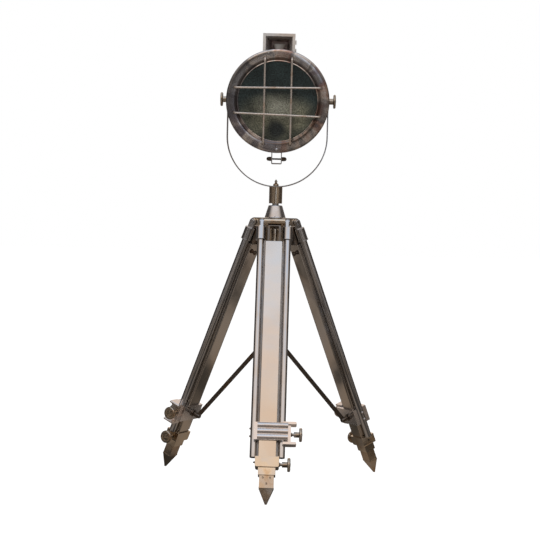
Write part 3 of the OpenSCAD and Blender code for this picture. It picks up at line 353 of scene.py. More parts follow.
def ringMetal():
    # Spun and mirror-polished ring with painted reflections: soft patches of tint that wander round and
    # across the band, and painted shade on the lip
    material, tree = emptyMaterial("ringPaintedReflections")
    where = madeAt(tree)
    flat = vectors(tree, "MULTIPLY", where, (1, 1, 0))
    across = vectors(tree, "MULTIPLY", flat, (7, 7, 7))
    spread = vectors(tree, "ADD", vectors(tree, "NORMALIZE", flat), across)
    patches = noise(tree, spread, 1.7, 2.0, Distortion=0.5)
    parts = axes(tree, flat)
    turn = stretch(tree, sums(tree, "ARCTAN2", parts["X"], parts["Y"]), -pi, pi)
    # Painted reflections: the tint is picked by the angle round the band
    share = sums(tree, "ADD", turn, stretch(tree, patches, 0.3, 0.7, -0.06, 0.06))
    colour = colourRun(tree, share, [((angle + 180) / 360, ringReflectionTones[tint]) for angle, tint in ringReflectionRun])
    # Painted dark reflections in soft patches
    colour = blend(tree, stretch(tree, patches, 0.52, 0.32, 0.0, 0.6, smooth=True), colour,
                   tone(*ringReflectionTones["dark"]))
    # Painted shade on the inner lip
    far = vectors(tree, "LENGTH", flat, result="Value")
    lip = sums(tree, "MULTIPLY", stretch(tree, far, *ringLipShade["outer"], smooth=True),
               stretch(tree, far, *ringLipShade["inner"]))
    colour = blend(tree, sums(tree, "MULTIPLY", lip, ringLipShade["share"]), colour, tone(*ringLipShade["tint"]),
                   "MULTIPLY")
    marks = effect(tree, "polish", {"Vector": where, "Fineness": 600.0, "Pull": 1.0, "Low": 0.14,
                                    "High": 0.26})
    film = effect(tree, "dust", {"Vector": where, "Color": colour, "Roughness": marks["Roughness"],
                                 "Amount": 0.12})
    surface(tree, {"Base Color": film["Color"], "Metallic": 1.0, "Roughness": film["Roughness"],
                   "Normal": relief(tree, noise(tree, spread, 2.0, 0.0), 0.1, 0.004)})
    return material


# Front glass colours: a painted dark rim, a painted glow and middle, and a painted dark reflection
lens = {"rim": (34, 43, 43), "glowOlive": (104, 101, 84), "middle": (118, 117, 106), "dark": (38, 42, 41),
        "through": 0.05}


def frontGlass():
    # Hammered glass, painted dark where the unlit inside would show through it, with a painted glow of the
    # bowl, paler low in the middle, and a painted dark reflection lower down
    material, tree = emptyMaterial("frontGlassPaintedGlow")
    where = vectors(tree, "MULTIPLY", madeAt(tree), (1, 1, 0))
    wide = vectors(tree, "MULTIPLY", where, (0.6, 1, 0))
    drift = noise(tree, where, 16.0, 3.0)
    grain = noise(tree, where, 260.0, 3.0, Roughness=0.6)
    broad = sums(tree, "MULTIPLY", fade(tree, wide, (0.0, -0.056, 0), 0.03, 0.1),
                 stretch(tree, drift, 0.34, 0.6, 0.5, 1.0))
    # Painted glow of the lit bowl seen through the glass, on a painted dark ground
    colour = blend(tree, broad, tone(*lens["rim"]), tone(*lens["glowOlive"]))
    colour = blend(tree, fade(tree, wide, (0.0, -0.02, 0), 0.0, 0.055), colour, tone(*lens["middle"]))
    # A painted dark reflection, low down in the glass
    colour = blend(tree, fade(tree, where, (-0.002, -0.094, 0), 0.014, 0.046), colour, tone(*lens["dark"]))
    speck = sums(tree, "MULTIPLY", stretch(tree, grain, 0.38, 0.66, 0.45, 1.75),
                 stretch(tree, drift, 0.34, 0.62, 0.75, 1.25))
    colour = put(tree, "ShaderNodeVectorMath", {0: colour, "Scale": speck}, operation="SCALE").outputs[0]
    surface(tree, {"Base Color": colour, "Roughness": stretch(tree, drift, 0.3, 0.7, 0.12, 0.24),
                   "Transmission Weight": lens["through"], "IOR": 1.48,
                   "Normal": relief(tree, grain, 0.12, 0.0004)})
    return material


finishes["paintedReflections"] = ringMetal()
finishes["lens"] = frontGlass()
print("finishes made:", len(finishes))


# Shape helpers
def rounded(points, radius, closed=False, steps=3):
    # The same line with its corners turned into small arcs
    made = []
    count = len(points)
    for k, point in enumerate(points):
        here = Vector(point)
        if not closed and k in (0, count - 1):
            made.append(tuple(here))
            continue
        before = Vector(points[k - 1]) - here
        after = Vector(points[(k + 1) % count]) - here
        cut = min(radius, before.length * 0.45, after.length * 0.45)
        first, last = here + before.normalized() * cut, here + after.normalized() * cut
        for j in range(steps + 1):
            t = j / steps
            made.append(tuple(first * (1 - t) ** 2 + here * 2 * t * (1 - t) + last * t ** 2))
    return made


def joinRings(shape, low, high):
    count = max(len(low), len(high))
    for k in range(count):
        n = (k + 1) % count
        if len(low) == 1:
            shape.faces.new((low[0], high[n], high[k]))
        elif len(high) == 1:
            shape.faces.new((low[k], low[n], high[0]))
        else:
            shape.faces.new((low[k], low[n], high[n], high[k]))


def lofted(sections, loop=False):
    # Skin over rings of points; ends are capped unless the rings run round in a loop
    shape = bmesh.new()
    rings = [[shape.verts.new(point) for point in section] for section in sections]
    for low, high in zip(rings, rings[1:]):
        joinRings(shape, low, high)
    if loop:
        joinRings(shape, rings[-1], rings[0])
    else:
        for ring in (rings[0], rings[-1]):
            if len(ring) > 1:
                shape.faces.new(ring)
    bmesh.ops.recalc_face_normals(shape, faces=shape.faces)
    return shape


def scaled(points):
    return [tuple(value * mm for value in point) for point in points]


def turned(profile, steps=96, loop=False):
    # A profile of (radius, height) in millimetres, turned round Z
    sections = []
    for radius, height in scaled(profile):
        if radius < 1e-6:
            sections.append([(0, 0, height)])
        else:
            angles = [2 * pi * k / steps for k in range(steps)]
            sections.append([(radius * cos(a), radius * sin(a), height) for a in angles])
    return lofted(sections, loop)


def added(shape, other, place=Matrix.Identity(4)):
    # Another shape joined into this one
    mesh = bpy.data.meshes.new("joining")
    other.to_mesh(mesh)
    mesh.transform(place)
    other.free()
    shape.from_mesh(mesh)
    bpy.data.meshes.remove(mesh)
    return shape


def broken(shape, width, segments=2, corner=28):
    # Sharp edges broken with a small bevel, its width in millimetres
    edges = [edge for edge in shape.edges
             if len(edge.link_faces) == 2 and edge.calc_face_angle(0) > radians(corner)]
    bmesh.ops.bevel(shape, geom=edges, offset=width * mm, segments=segments, profile=0.5, affect="EDGES",
                    clamp_overlap=True)
    return shape


def cadShape(node, place, dropBelow=0.0):
    # The CAD node's own shape, its triangles merged, its flat faces made whole, its small solids left out
    shape = bmesh.new()
    shape.from_mesh(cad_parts[node].data)
    bmesh.ops.remove_doubles(shape, verts=shape.verts, dist=2e-6)
    if dropBelow:
        left = set(shape.verts)
        while left:
            island, edge = set(), [left.pop()]
            while edge:
                vert = edge.pop()
                if vert in island:
                    continue
                island.add(vert)
                edge.extend(e.other_vert(vert) for e in vert.link_edges)
            left -= island
            spots = [vert.co for vert in island]
            size = Vector([max(c[i] for c in spots) - min(c[i] for c in spots) for i in range(3)]).length
            if size < dropBelow * mm:
                bmesh.ops.delete(shape, geom=list(island), context="VERTS")
    bmesh.ops.dissolve_limit(shape, angle_limit=radians(0.5), verts=shape.verts, edges=shape.edges)
    bmesh.ops.transform(shape, matrix=place.inverted(), verts=shape.verts)
    return shape


def settle(name, shape, place, body, finish, nodes=(), shift=0.0, corner=32):
    # A finished piece: its pattern is read where it was made, and its object stays at the origin
    if isinstance(shape, bmesh.types.BMesh):
        mesh = bpy.data.meshes.new(name)
        shape.to_mesh(mesh)
        shape.free()
    else:
        mesh = shape
        mesh.name = name
    spots = mesh.attributes.get("madeAt") or mesh.attributes.new("madeAt", "FLOAT_VECTOR", "POINT")
    for spot, vert in zip(spots.data, mesh.vertices):
        spot.vector = vert.co + Vector((shift, 0, 0))
    mesh.transform(place)
    mesh.shade_smooth()
    mesh.set_sharp_from_angle(angle=radians(corner))
    mesh.materials.clear()
    mesh.materials.append(finishes[finish])
    piece = linked(name, mesh)
    weighted = piece.modifiers.new("evenShading", "WEIGHTED_NORMAL")
    weighted.keep_sharp = True
    if nodes:
        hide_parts(*nodes)
    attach(piece, body)


def keep(name, node, place, body, finish, bevel, shift=0.0, dropBelow=0.0):
    # A CAD shape that is kept as it is, with its edges broken
    shape = broken(cadShape(node, place, dropBelow), bevel)
    settle(name, shape, place, body, finish, [node], shift)


# Geometry Nodes helpers
def growTree(name, inputs):
    rows = [("Geometry", "Geometry"), *inputs, ("Material", "Material")]
    return newTree(name, "GeometryNodeTree", rows, rows[:1])


def endTree(tree, given, out, geometry):
    whole = put(tree, "GeometryNodeRealizeInstances", {"Geometry": geometry})
    coated = put(tree, "GeometryNodeSetMaterial", {"Geometry": whole, "Material": given["Material"]})
    tree.links.new(coated.outputs[0], out["Geometry"])
    return tree


def grow(name, tree, base, values, finish):
    # Runs a tree on a mesh and gives back the plain mesh
    holder = linked(name, base)
    step = holder.modifiers.new("grow", "NODES")
    step.node_group = tree
    values = dict(values, Material=finishes[finish])
    for item in tree.interface.items_tree:
        if item.item_type == "SOCKET" and item.in_out == "INPUT" and item.name in values:
            step[item.identifier] = values[item.name]
    graph = bpy.context.evaluated_depsgraph_get()
    mesh = bpy.data.meshes.new_from_object(holder.evaluated_get(graph), depsgraph=graph)
    holder.modifiers.remove(step)
    bpy.data.objects.remove(holder)
    return mesh


def dots(places, facings=None, sizes=None):
    # A mesh of single points, with the way that each faces and its size
    mesh = bpy.data.meshes.new("dots")
    mesh.from_pydata([tuple(p) for p in places], [], [])
    facing = mesh.attributes.new("facing", "FLOAT_VECTOR", "POINT")
    for k in range(len(places)):
        facing.data[k].vector = facings[k] if facings else (0, 0, 1)
    size = mesh.attributes.new("headSize", "FLOAT", "POINT")  # only now: it makes the first handle stale
    for k in range(len(places)):
        size.data[k].value = sizes[k] if sizes else 1.0
    return mesh


def wireTree():
    # A line of points bent into a round rod
    tree, given, out = growTree("bentRod", [("Radius", "Float", 0.003), ("Bend", "Float", 0.009),
                                            ("Sides", "Int", 16), ("Bend Steps", "Int", 6)])
    line = put(tree, "GeometryNodeMeshToCurve", {"Mesh": given["Geometry"]})
    bent = put(tree, "GeometryNodeFilletCurve", {
        "Curve": line, "Count": given["Bend Steps"], "Radius": given["Bend"], "Limit Radius": True},
        mode="POLY")
    ring = put(tree, "GeometryNodeCurvePrimitiveCircle", {"Resolution": given["Sides"],
                                                          "Radius": given["Radius"]})
    rod = put(tree, "GeometryNodeCurveToMesh", {"Curve": bent, "Profile Curve": ring,
                                                "Fill Caps": True})
    return endTree(tree, given, out, rod)


def gripTree():
    # Fine ridges round the edge of a knob
    tree, given, out = growTree("knobGrip", [("Radius", "Float", 0.0217), ("Length", "Float", 0.006),
                                             ("Ridge", "Float", 0.0007), ("Count", "Int", 44),
                                             ("Height", "Float", 0.0)])
    rim = put(tree, "GeometryNodeMeshCircle", {"Vertices": given["Count"], "Radius": given["Radius"]})
    ridge = put(tree, "GeometryNodeMeshCylinder", {"Vertices": 6, "Radius": given["Ridge"],
                                                   "Depth": given["Length"]})
    row = put(tree, "GeometryNodeInstanceOnPoints", {"Points": rim, "Instance": ridge})
    lift = put(tree, "ShaderNodeCombineXYZ", {"Z": given["Height"]})
    moved = put(tree, "GeometryNodeTransform", {"Geometry": row, "Translation": lift})
    return endTree(tree, given, out, moved)


def screwTree():
    # Slotted dome heads on points, each turned its own way
    tree, given, out = growTree("slottedScrews", [("Dome", "Float", 0.5), ("Slot", "Float", 0.2),
                                                  ("Slot Depth", "Float", 0.3), ("Seed", "Int", 4)])
    ball = put(tree, "GeometryNodeMeshUVSphere", {"Segments": 24, "Rings": 12, "Radius": 1.0})
    squash = put(tree, "ShaderNodeCombineXYZ", {"X": 1.0, "Y": 1.0, "Z": given["Dome"]})
    dome = put(tree, "GeometryNodeTransform", {"Geometry": ball, "Scale": squash})
    blade = put(tree, "ShaderNodeCombineXYZ", {"X": 2.4, "Y": given["Slot"], "Z": given["Slot Depth"]})
    cutter = put(tree, "GeometryNodeMeshCube", {"Size": blade})
    top = put(tree, "ShaderNodeCombineXYZ", {"Z": given["Dome"]})
    raised = put(tree, "GeometryNodeTransform", {"Geometry": cutter,
                                                 "Translation": top})
    head = put(tree, "GeometryNodeMeshBoolean", {"Mesh 1": dome, "Mesh 2": raised},
               operation="DIFFERENCE")
    facing = put(tree, "GeometryNodeInputNamedAttribute", {"Name": "facing"}, data_type="FLOAT_VECTOR")
    size = put(tree, "GeometryNodeInputNamedAttribute", {"Name": "headSize"}, data_type="FLOAT")
    aim = put(tree, "FunctionNodeAlignRotationToVector", {"Vector": facing.outputs["Attribute"]}, axis="Z")
    spin = put(tree, "FunctionNodeRandomValue", {3: pi, "Seed": given["Seed"]}, data_type="FLOAT")
    about = put(tree, "FunctionNodeAxisAngleToRotation", {"Axis": (0, 0, 1), "Angle": spin.outputs[1]})
    turn = put(tree, "FunctionNodeRotateRotation", {"Rotation": aim,
                                                    "Rotate By": about}, rotation_space="LOCAL")
    row = put(tree, "GeometryNodeInstanceOnPoints", {
        "Points": given["Geometry"], "Instance": head, "Rotation": turn,
        "Scale": size.outputs["Attribute"]})
    return endTree(tree, given, out, row)


def ringTree():
    # Equal rings along an axis: threads and the ribs of a strain relief
    tree, given, out = growTree("ringStack", [("Count", "Int", 6), ("Pitch", "Float", 0.003),
                                              ("Radius", "Float", 0.01), ("Bead", "Float", 0.001)])
    step = put(tree, "ShaderNodeCombineXYZ", {"Z": given["Pitch"]})
    line = put(tree, "GeometryNodeMeshLine", {"Count": given["Count"], "Offset": step},
               mode="OFFSET")
    path = put(tree, "GeometryNodeCurvePrimitiveCircle", {"Resolution": 40, "Radius": given["Radius"]})
    bead = put(tree, "GeometryNodeCurvePrimitiveCircle", {"Resolution": 8, "Radius": given["Bead"]})
    ring = put(tree, "GeometryNodeCurveToMesh", {"Curve": path, "Profile Curve": bead})
    row = put(tree, "GeometryNodeInstanceOnPoints", {"Points": line, "Instance": ring})
    return endTree(tree, given, out, row)


trees = {"rod": wireTree(), "grip": gripTree(), "screws": screwTree(), "rings": ringTree()}
print("node trees made:", len(trees))


def screwHeads(name, spots, facings, radii, cut, seed, place, body, finish, nodes=(), shift=0.0):
    # Domed heads. The cut is the dome's height, the slot's width and the slot's depth, over the radius
    dome, width, depth = cut
    heads = grow(name, trees["screws"], dots(scaled(spots), facings, [radius * mm for radius in radii]),
                 {"Dome": dome, "Slot": width, "Slot Depth": depth, "Seed": seed}, finish)
    settle(name, heads, place, body, finish, nodes, shift)


def ringStack(name, kind, place, body, finish):
    # Rings from a dictionary in millimetres, along Z from their start
    sizes = {label: kind[label.lower()] * mm for label in ("Pitch", "Radius", "Bead")}
    rings = grow(name, trees["rings"], dots([(0, 0, 0)]), {"Count": kind["count"], **sizes}, finish)
    settle(name, rings, place @ Matrix.Translation((0, 0, kind["start"] * mm)), body, finish)


# Leg rods: two polished tubes from under the ferrules to just above the shoe
legRods = {"radius": 11.0, "wall": 1.5, "spacing": 88.5, "top": 31.0, "end": 796.9, "lip": 0.5}


def makeRods(leg):
    r, w = legRods["radius"], legRods["wall"]
    top, end = -legRods["top"], -legRods["end"]
    profile = rounded([(r, top), (r, end), (r - w, end), (r - w, top)], legRods["lip"], closed=True)
    shape = bmesh.new()
    for side in (-1, 1):
        place = Matrix.Translation((side * legRods["spacing"] / 2 * mm, 0, 0))
        added(shape, turned(profile, 40, loop=True), place)
    settle(f"leg{leg}Rods", shape, legPlace(leg), f"leg_{leg}", "rod", [f"leg_{leg}_rods"],
           leg * 0.7)


# Guide strips on the rods' inner sides, which keep the panel in the middle
guides = {"inner": 28.4, "outer": 33.5, "halfDepth": 3.0, "runs": [(67.0, 688.4), (745.4, 796.0)],
          "edge": 0.4}


def makeGuides(leg):
    g = guides
    shape = bmesh.new()
    for side in (-1, 1):
        for top, end in g["runs"]:
            size = Vector((g["outer"] - g["inner"], 2 * g["halfDepth"], end - top)) * mm
            middle = Vector((side * (g["inner"] + g["outer"]) / 2, 0, -(top + end) / 2)) * mm
            place = Matrix.Translation(middle) @ Matrix.Diagonal(size.to_4d())
            bmesh.ops.create_cube(shape, size=1, matrix=place)
    settle(f"leg{leg}Guides", broken(shape, g["edge"]), legPlace(leg), f"leg_{leg}", "guide",
           shift=leg * 0.5)


# Box panel between the rods: a tube with softly rounded corners and a closed top
legPanel = {"width": 56.0, "depth": 40.0, "wall": 2.0, "top": 76.0, "end": 808.1, "cap": 3.0,
            "topRound": 3.0, "frontShare": 0.35, "edgeRound": 2.2, "innerShare": 0.3, "steps": 12}


def rectangleRing(halfWidth, halfDepth, radius, station, steps=4):
    points = []
    for cx, cy, start in ((1, 1, 0), (-1, 1, 90), (-1, -1, 180), (1, -1, 270)):
        for k in range(steps + 1):
            a = radians(start + 90 * k / steps)
            points.append((cx * (halfWidth - radius) + radius * cos(a),
                           cy * (halfDepth - radius) + radius * sin(a), -station))
    return scaled(points)


def makePanel(leg):
    p = legPanel
    w, d, soft = p["width"] / 2, p["depth"] / 2, p["edgeRound"]
    rings = []
    for k in range(6):  # the top's round shoulders
        a = radians(90 * k / 5)
        inset = p["topRound"] * (1 - sin(a))
        rings.append(rectangleRing(w - inset, d - inset * p["frontShare"], soft,
                                   p["top"] + p["topRound"] * (1 - cos(a))))
    foot = p["top"] + p["topRound"]
    for k in range(1, p["steps"] + 1):
        rings.append(rectangleRing(w, d, soft, foot + (p["end"] - foot) * k / p["steps"]))
    for station in (p["end"], p["top"] + p["cap"]):
        rings.append(rectangleRing(w - p["wall"], d - p["wall"], soft * p["innerShare"], station))
    settle(f"leg{leg}Panel", lofted(rings), legPlace(leg), f"leg_{leg}_panel", "panel",
           [f"leg_{leg}_panel"], leg * 0.9)


# Knobs: a coned neck, a stem and a disc with a milled edge, measured from the neck's face
legKnob = {"discRadius": 21.5, "discThick": 9.5, "stemRadius": 8.5, "stemLength": 16.5, "neck": 9.0,
           "neckWide": 7.5, "neckNarrow": 4.25, "screwRadius": 4.0, "crown": 1.2, "ridges": 48}
tiltKnob = {"discRadius": 22.8, "discThick": 8.0, "stemRadius": 10.0, "stemLength": 15.0,
            "boreRadius": 5.05, "boreDepth": 12.3, "crown": 1.2, "ridges": 52, "face": 169.3}
knobEdge = {"in": 2.2, "down": 1.8, "groove": 0.4, "ridge": 0.42, "sunk": 0.15, "round": 0.7, "steps": 56}


def makeKnob(name, node, k, start, foot, place, shift):
    # The disc after a knob's own start. Its body has the node's name
    r, t, e = k["discRadius"], k["discThick"], knobEdge
    disc = [(k["stemRadius"], foot), (r - e["in"], foot), (r, foot + e["down"]), (r, foot + t - e["down"]),
            (r - e["in"], foot + t), (r * 0.62, foot + t + k["crown"] * 0.35),
            (r * 0.5, foot + t - e["groove"]), (r * 0.2, foot + t + k["crown"] * 0.8),
            (0, foot + t + k["crown"])]
    settle(name, turned(rounded(start + disc, e["round"]), e["steps"]), place, node, "knob", [node],
           shift)
    grip = grow(name + "Grip", trees["grip"], dots([(0, 0, 0)]), {
        "Radius": (r - e["sunk"]) * mm, "Length": (t - 2 * e["down"]) * mm, "Ridge": e["ridge"] * mm,
        "Count": k["ridges"], "Height": (foot + t / 2) * mm}, "knob")
    settle(name + "Grip", grip, place, node, "knob", shift=shift)


def makeLegKnob(name, node, place, screw, shift):
    k = legKnob
    thread, neck = k["screwRadius"], k["neck"]
    start = [(0, -screw), (thread - 0.6, -screw), (thread, 0.6 - screw), (thread, 0.0),
             (k["neckWide"], 0.0), (k["neckWide"], 0.8), (k["neckNarrow"], neck / 2),
             (k["neckNarrow"], neck), (k["stemRadius"], neck)]
    makeKnob(name, node, k, start, neck + k["stemLength"], place, shift)


def makeTiltKnob(name, node, place, shift):
    k = tiltKnob
    start = [(0, k["boreDepth"]), (k["boreRadius"], k["boreDepth"]), (k["boreRadius"], 0),
             (k["stemRadius"], 0)]
    outer = place @ Matrix.Translation((k["face"] * mm, 0, 0)) @ alongX
    makeKnob(name, node, k, start, k["stemLength"], outer, shift)


# Each leg's two knobs: piece, node, face off the leg's middle, station down the leg, screw length
legKnobs = [("ClampKnob", "clamp_knob", 72.3, 721.151, 44.0),
            ("FootKnob", "foot_knob", 37.8, 817.66, 14.75)]
footScrews = {"spots": [(-11.3, -15.1, -862.0), (11.3, -15.1, -862.0), (0.0, -15.1, -881.0)],
              "radius": 3.75, "cut": (0.6, 0.34, 0.5)}

# CAD shapes that are kept: piece, node, body, finish, slot, bevel, size below which a solid is left out
keptLegShapes = [
    ("TopLugs", "top_lugs", "", "rod", "nickel", 0.7, 0.0),
    ("Clamp", "clamp", "", "clamp", "nickel", 0.7, 0.0),
    ("StrutPost", "strut_post", "", "dark", "dark_nickel", 0.5, 0.0),
    ("PanelFittings", "panel_fittings", "_panel", "dark", "dark_nickel", 0.7, 0.0),
    ("Shoe", "shoe", "_panel", "cast", "cast_alloy", 1.6, 0.0),
    ("Foot", "foot", "_foot", "foot", "cast_alloy", 0.8, 16.0),
]


def makeLeg(leg):
    place = legPlace(leg)
    makeGuides(leg)
    makeRods(leg)
    makePanel(leg)
    for part, node, body, finish, slot, bevel, dropBelow in keptLegShapes:
        keep(f"leg{leg}{part}", f"leg_{leg}_{node}", place, f"leg_{leg}{body}", finish, bevel,
             leg * 0.5, dropBelow)
    for part, node, face, station, screw in legKnobs:
        knobPlace = place @ Matrix.Translation((face * mm, 0, -station * mm)) @ alongX
        makeLegKnob(f"leg{leg}{part}", f"leg_{leg}_{node}", knobPlace, screw, leg * 0.3)
    s = footScrews
    screwHeads(f"leg{leg}FootScrews", s["spots"], [(0, -1, 0)] * 3, [s["radius"]] * 3, s["cut"], leg, place,
               f"leg_{leg}_foot", "screw", shift=leg * 0.2)
    keep(f"leg{leg}Strut", f"leg_{leg}_strut", place, f"leg_{leg}_strut", "dark", 0.8,
         leg * 0.4)
    print("leg", leg, "made")


for leg in (1, 2, 3):
    makeLeg(leg)

# Tripod head: cone, boss and finial are turned, the castings keep their CAD shape with soft edges
cone = {"base": 35.5, "foot": 884.0, "top": 926.0, "topRadius": 23.0, "bore": 9.1, "boreFoot": 891.9,
        "round": 1.2}
setScrew = {"spots": [(0, -35.2, 889)], "facings": [(0, -1, 0.28)], "radii": [2.6], "cut": (0.4, 0.3, 0.4)}
# Boss under the hub casting, seen between the front leg's lugs
tailBoss = {"top": 858.0, "foot": 790.0, "radius": 31.0, "edge": 4.0, "round": 1.0}
finial = {"foot": 990.1, "radius": 9.5, "height": 23.0, "stem": 4.0, "stemFoot": 975.1, "round": 0.9,
          "shares": [(0.92, 0), (1, 0.05), (1, 0.17), (0.9, 0.27), (0.66, 0.37), (0.47, 0.43), (0.4, 0.5),
                     (0.44, 0.57), (0.52, 0.65), (0.47, 0.72), (0.34, 0.8), (0.2, 0.88), (0.09, 0.96),
                     (0, 1)]}
keptHubShapes = [
    ("hubCasting", "hub_casting", "tripod_head", "cast", "cast_alloy", 1.4),
    ("hingePins", "hinge_pins", "tripod_head", "rod", "nickel", 0.3),
    ("swivelCap", "swivel_cap", "yoke", "cast", "cast_alloy", 0.8),
    ("strutHub", "strut_hub", "strut_hub", "dark", "dark_nickel", 0.5),
]


def makeTripodHead():
    c, s, t, f = cone, setScrew, tailBoss, finial
    base, foot, rim, top = c["base"], c["foot"], c["topRadius"], c["top"]
    profile = [(0, c["boreFoot"]), (c["bore"], c["boreFoot"]), (c["bore"], top), (rim - 1.5, top),
               (rim + 0.3, top - 2.2), (base - 0.8, foot + 2.4), (base, foot + 1.2), (base - 0.4, foot),
               (0, foot)]
    settle("hubCone", turned(rounded(profile, c["round"])), axisPlace, "tripod_head", "satin", ["hub_cone"])
    screwHeads("coneSetScrew", s["spots"], s["facings"], s["radii"], s["cut"], 2, axisPlace, "tripod_head",
               "dark")
    profile = [(0, t["top"]), (t["radius"], t["top"]), (t["radius"], t["foot"] + t["edge"]),
               (t["radius"] - t["edge"], t["foot"]), (0, t["foot"])]
    settle("hubTailBoss", turned(rounded(profile, t["round"]), 72), axisPlace, "tripod_head", "cast")
    profile = [(0, f["stemFoot"]), (f["stem"], f["stemFoot"]), (f["stem"], f["foot"])]
    profile += [(r * f["radius"], f["foot"] + h * f["height"]) for r, h in f["shares"]]
    settle("finialNut", turned(rounded(profile, f["round"]), 48), axisPlace, "yoke", "knob", ["finial"])
    for name, node, body, finish, slot, bevel in keptHubShapes:
        keep(name, node, axisPlace, body, finish, bevel)


makeTripodHead()
print("tripod head made")

# Yoke: one flat strip bent to a U, with round ends at the tilt studs. Steps of angle in degrees
yokeStrip = {"radius": 169.0, "thick": 4.0, "width": 28.0, "drop": 121.0, "edge": 0.9, "arcSteps": 72,
             "sideSteps": 8, "endAngle": 88, "endStep": 11}


def stripSection(halfWidth, inner, outer, edge):
    # Rounded rectangle of the strip, as (across, out of the U) pairs
    e = min(edge, halfWidth * 0.5)
    pairs = []
    for cx, cy, start in ((halfWidth, outer, 0), (-halfWidth, outer, 90), (-halfWidth, inner, 180),
                          (halfWidth, inner, 270)):
        for k in range(4):
            a = radians(start + 30 * k)
            pairs.append((cx - copysign(e, cx) + e * cos(a),
                          cy - (e if cy == outer else -e) + e * sin(a)))
    return pairs


def makeYoke():
    y = yokeStrip
    outer, inner, half = y["radius"], y["radius"] - y["thick"], y["width"] / 2
    stations = []
    for k in range(9):  # round end, then the straight side down to the bend
        a = radians(y["endAngle"] - y["endStep"] * k)
        stations.append((half * sin(a), half * cos(a)))
    stations += [(-y["drop"] * k / y["sideSteps"], half) for k in range(1, y["sideSteps"] + 1)]

    def sideRings(sign):
        return [[(sign * out, across, height)
                 for across, out in stripSection(width, inner, outer, y["edge"])]
                for height, width in stations]

    rings = sideRings(-1)
    for k in range(1, y["arcSteps"]):
        a = pi + pi * k / y["arcSteps"]
        rings.append([(out * cos(a), across, out * sin(a) - y["drop"])
                      for across, out in stripSection(half, inner, outer, y["edge"])])
    rings += sideRings(1)[::-1]
    settle("yokeStrip", lofted([scaled(ring) for ring in rings]), pivotPlace, "yoke", "rod", ["yoke"])


makeYoke()

# Head: front ring, glass, guard and drum, in the front frame (Z towards the light)
ring = {
    "crown": [(170, 74), (170, 91), (169.6, 94.4), (168.2, 96.9), (165.6, 98.6), (160, 99.6), (152, 100),
              (144.5, 99.6), (139.5, 98.7), (136.2, 97.2), (134.2, 95.9), (133.2, 95.5), (132.2, 96.0),
              (131.2, 96.3), (130.3, 95.9), (130.0, 95.0), (130.0, 92.5)],
    "under": [(134.6, 92.5), (134.8, 94.2), (139.8, 97.0), (144.8, 98.0), (152, 98.4), (160, 98.0),
              (165.2, 96.8), (167.6, 94.6), (168.4, 91), (168.4, 74)],
    "collar": [(150.15, 74.0), (151.75, 74.0), (151.75, 98.3), (150.15, 98.3)],
    "screwAngles": (-90, 102), "screwCircle": 159, "screwHeight": 99.6, "screwRadii": [5.5, 3.0],
    "screwCut": (0.55, 0.16, 0.16),
}
glassPane = {"radius": 132.8, "front": 92.3, "back": 88.45, "bulge": 1.4, "edge": 0.6, "steps": 12}
guardRods = {"offset": 44.0, "reach": 147.0, "radius": 3.4, "bend": 9.0, "foot": 99.0, "upright": 110.0,
             "cross": 115.0, "tilts": (0.8, -1.5), "feetHeight": 99.7, "footRadius": 5.2,
             "footCut": (0.3, 0.001, 0.001)}
shell = {"radius": 150.0, "wall": 1.2, "front": 84.4, "back": -87.6, "flange": 122.0, "edge": 0.8,
         "bead": 1.0, "beadAt": -48.0}
cover = {"lap": 14.0, "gap": 0.15, "rise": 32.0, "stepRadius": 58.0, "stepDepth": 2.0, "stepWidth": 8.0,
         "steps": 40, "screws": 6, "screwRadius": 3.4, "screwLift": 7.0, "screwCut": (0.5, 0.22, 0.28)}
bowl = {"rim": 119.0, "hole": 23.0, "depth": 98.0, "front": 83.2, "wall": 1.0, "flange": 142.0, "steps": 36}
# Bulb: a globe with a thin wall, on a metal base with a round thread
bulb = {"radius": 30.0, "middle": 9.5, "neck": 10.9, "neckEnd": -37.9, "wall": 1.0, "steps": 28,
        "base": [(0, -38), (12.2, -38), (12.2, -62.5), (6, -63.6), (0, -63.7)],
        "thread": {"count": 6, "pitch": -3.6, "radius": 12.2, "bead": 0.7, "start": -41.0}}
# Gland: a hex nut and a tapered grip with ribs
gland = {"height": -100.0, "out": 20.0, "round": 0.6,
         "tube": [(4, -12), (10, -12), (10, 8), (8.2, 12), (6.9, 20), (4, 20)],
         "nut": [(12, 0.1), (13, 0.9), (13, 7.2), (12, 8)],
         "ribs": {"count": 4, "pitch": 1.9, "radius": 7.3, "bead": 0.7, "start": 12.6}}


def makeRing():
    r = ring
    shape = turned(r["crown"] + r["under"], 160, loop=True)
    added(shape, turned(rounded(r["collar"], 0.4, closed=True), 120, loop=True))
    settle("frontRing", shape, frontPlace, "head", "paintedReflections", ["bezel"], corner=40)
    angles = [radians(angle) for angle in r["screwAngles"]]
    spots = [(r["screwCircle"] * cos(a), r["screwCircle"] * sin(a), r["screwHeight"])
             for a in angles]
    screwHeads("ringScrews", spots, [(0, 0, 1)] * 2, r["screwRadii"], r["screwCut"], 7, frontPlace, "head",
               "rod", ["bezel_screws"])


def makeGlass():
    g = glassPane
    face = g["radius"] - g["edge"]
    profile = [(0, g["back"]), (face, g["back"]), (g["radius"], g["back"] + g["edge"]),
               (g["radius"], g["front"] - g["edge"]), (face, g["front"])]
    for k in range(1, g["steps"] + 1):
        share = 1 - k / g["steps"]
        profile.append((face * share, g["front"] + g["bulge"] * (1 - share ** 2)))
    settle("frontGlass", turned(profile, 120), frontPlace, "head", "lens", ["lens"])


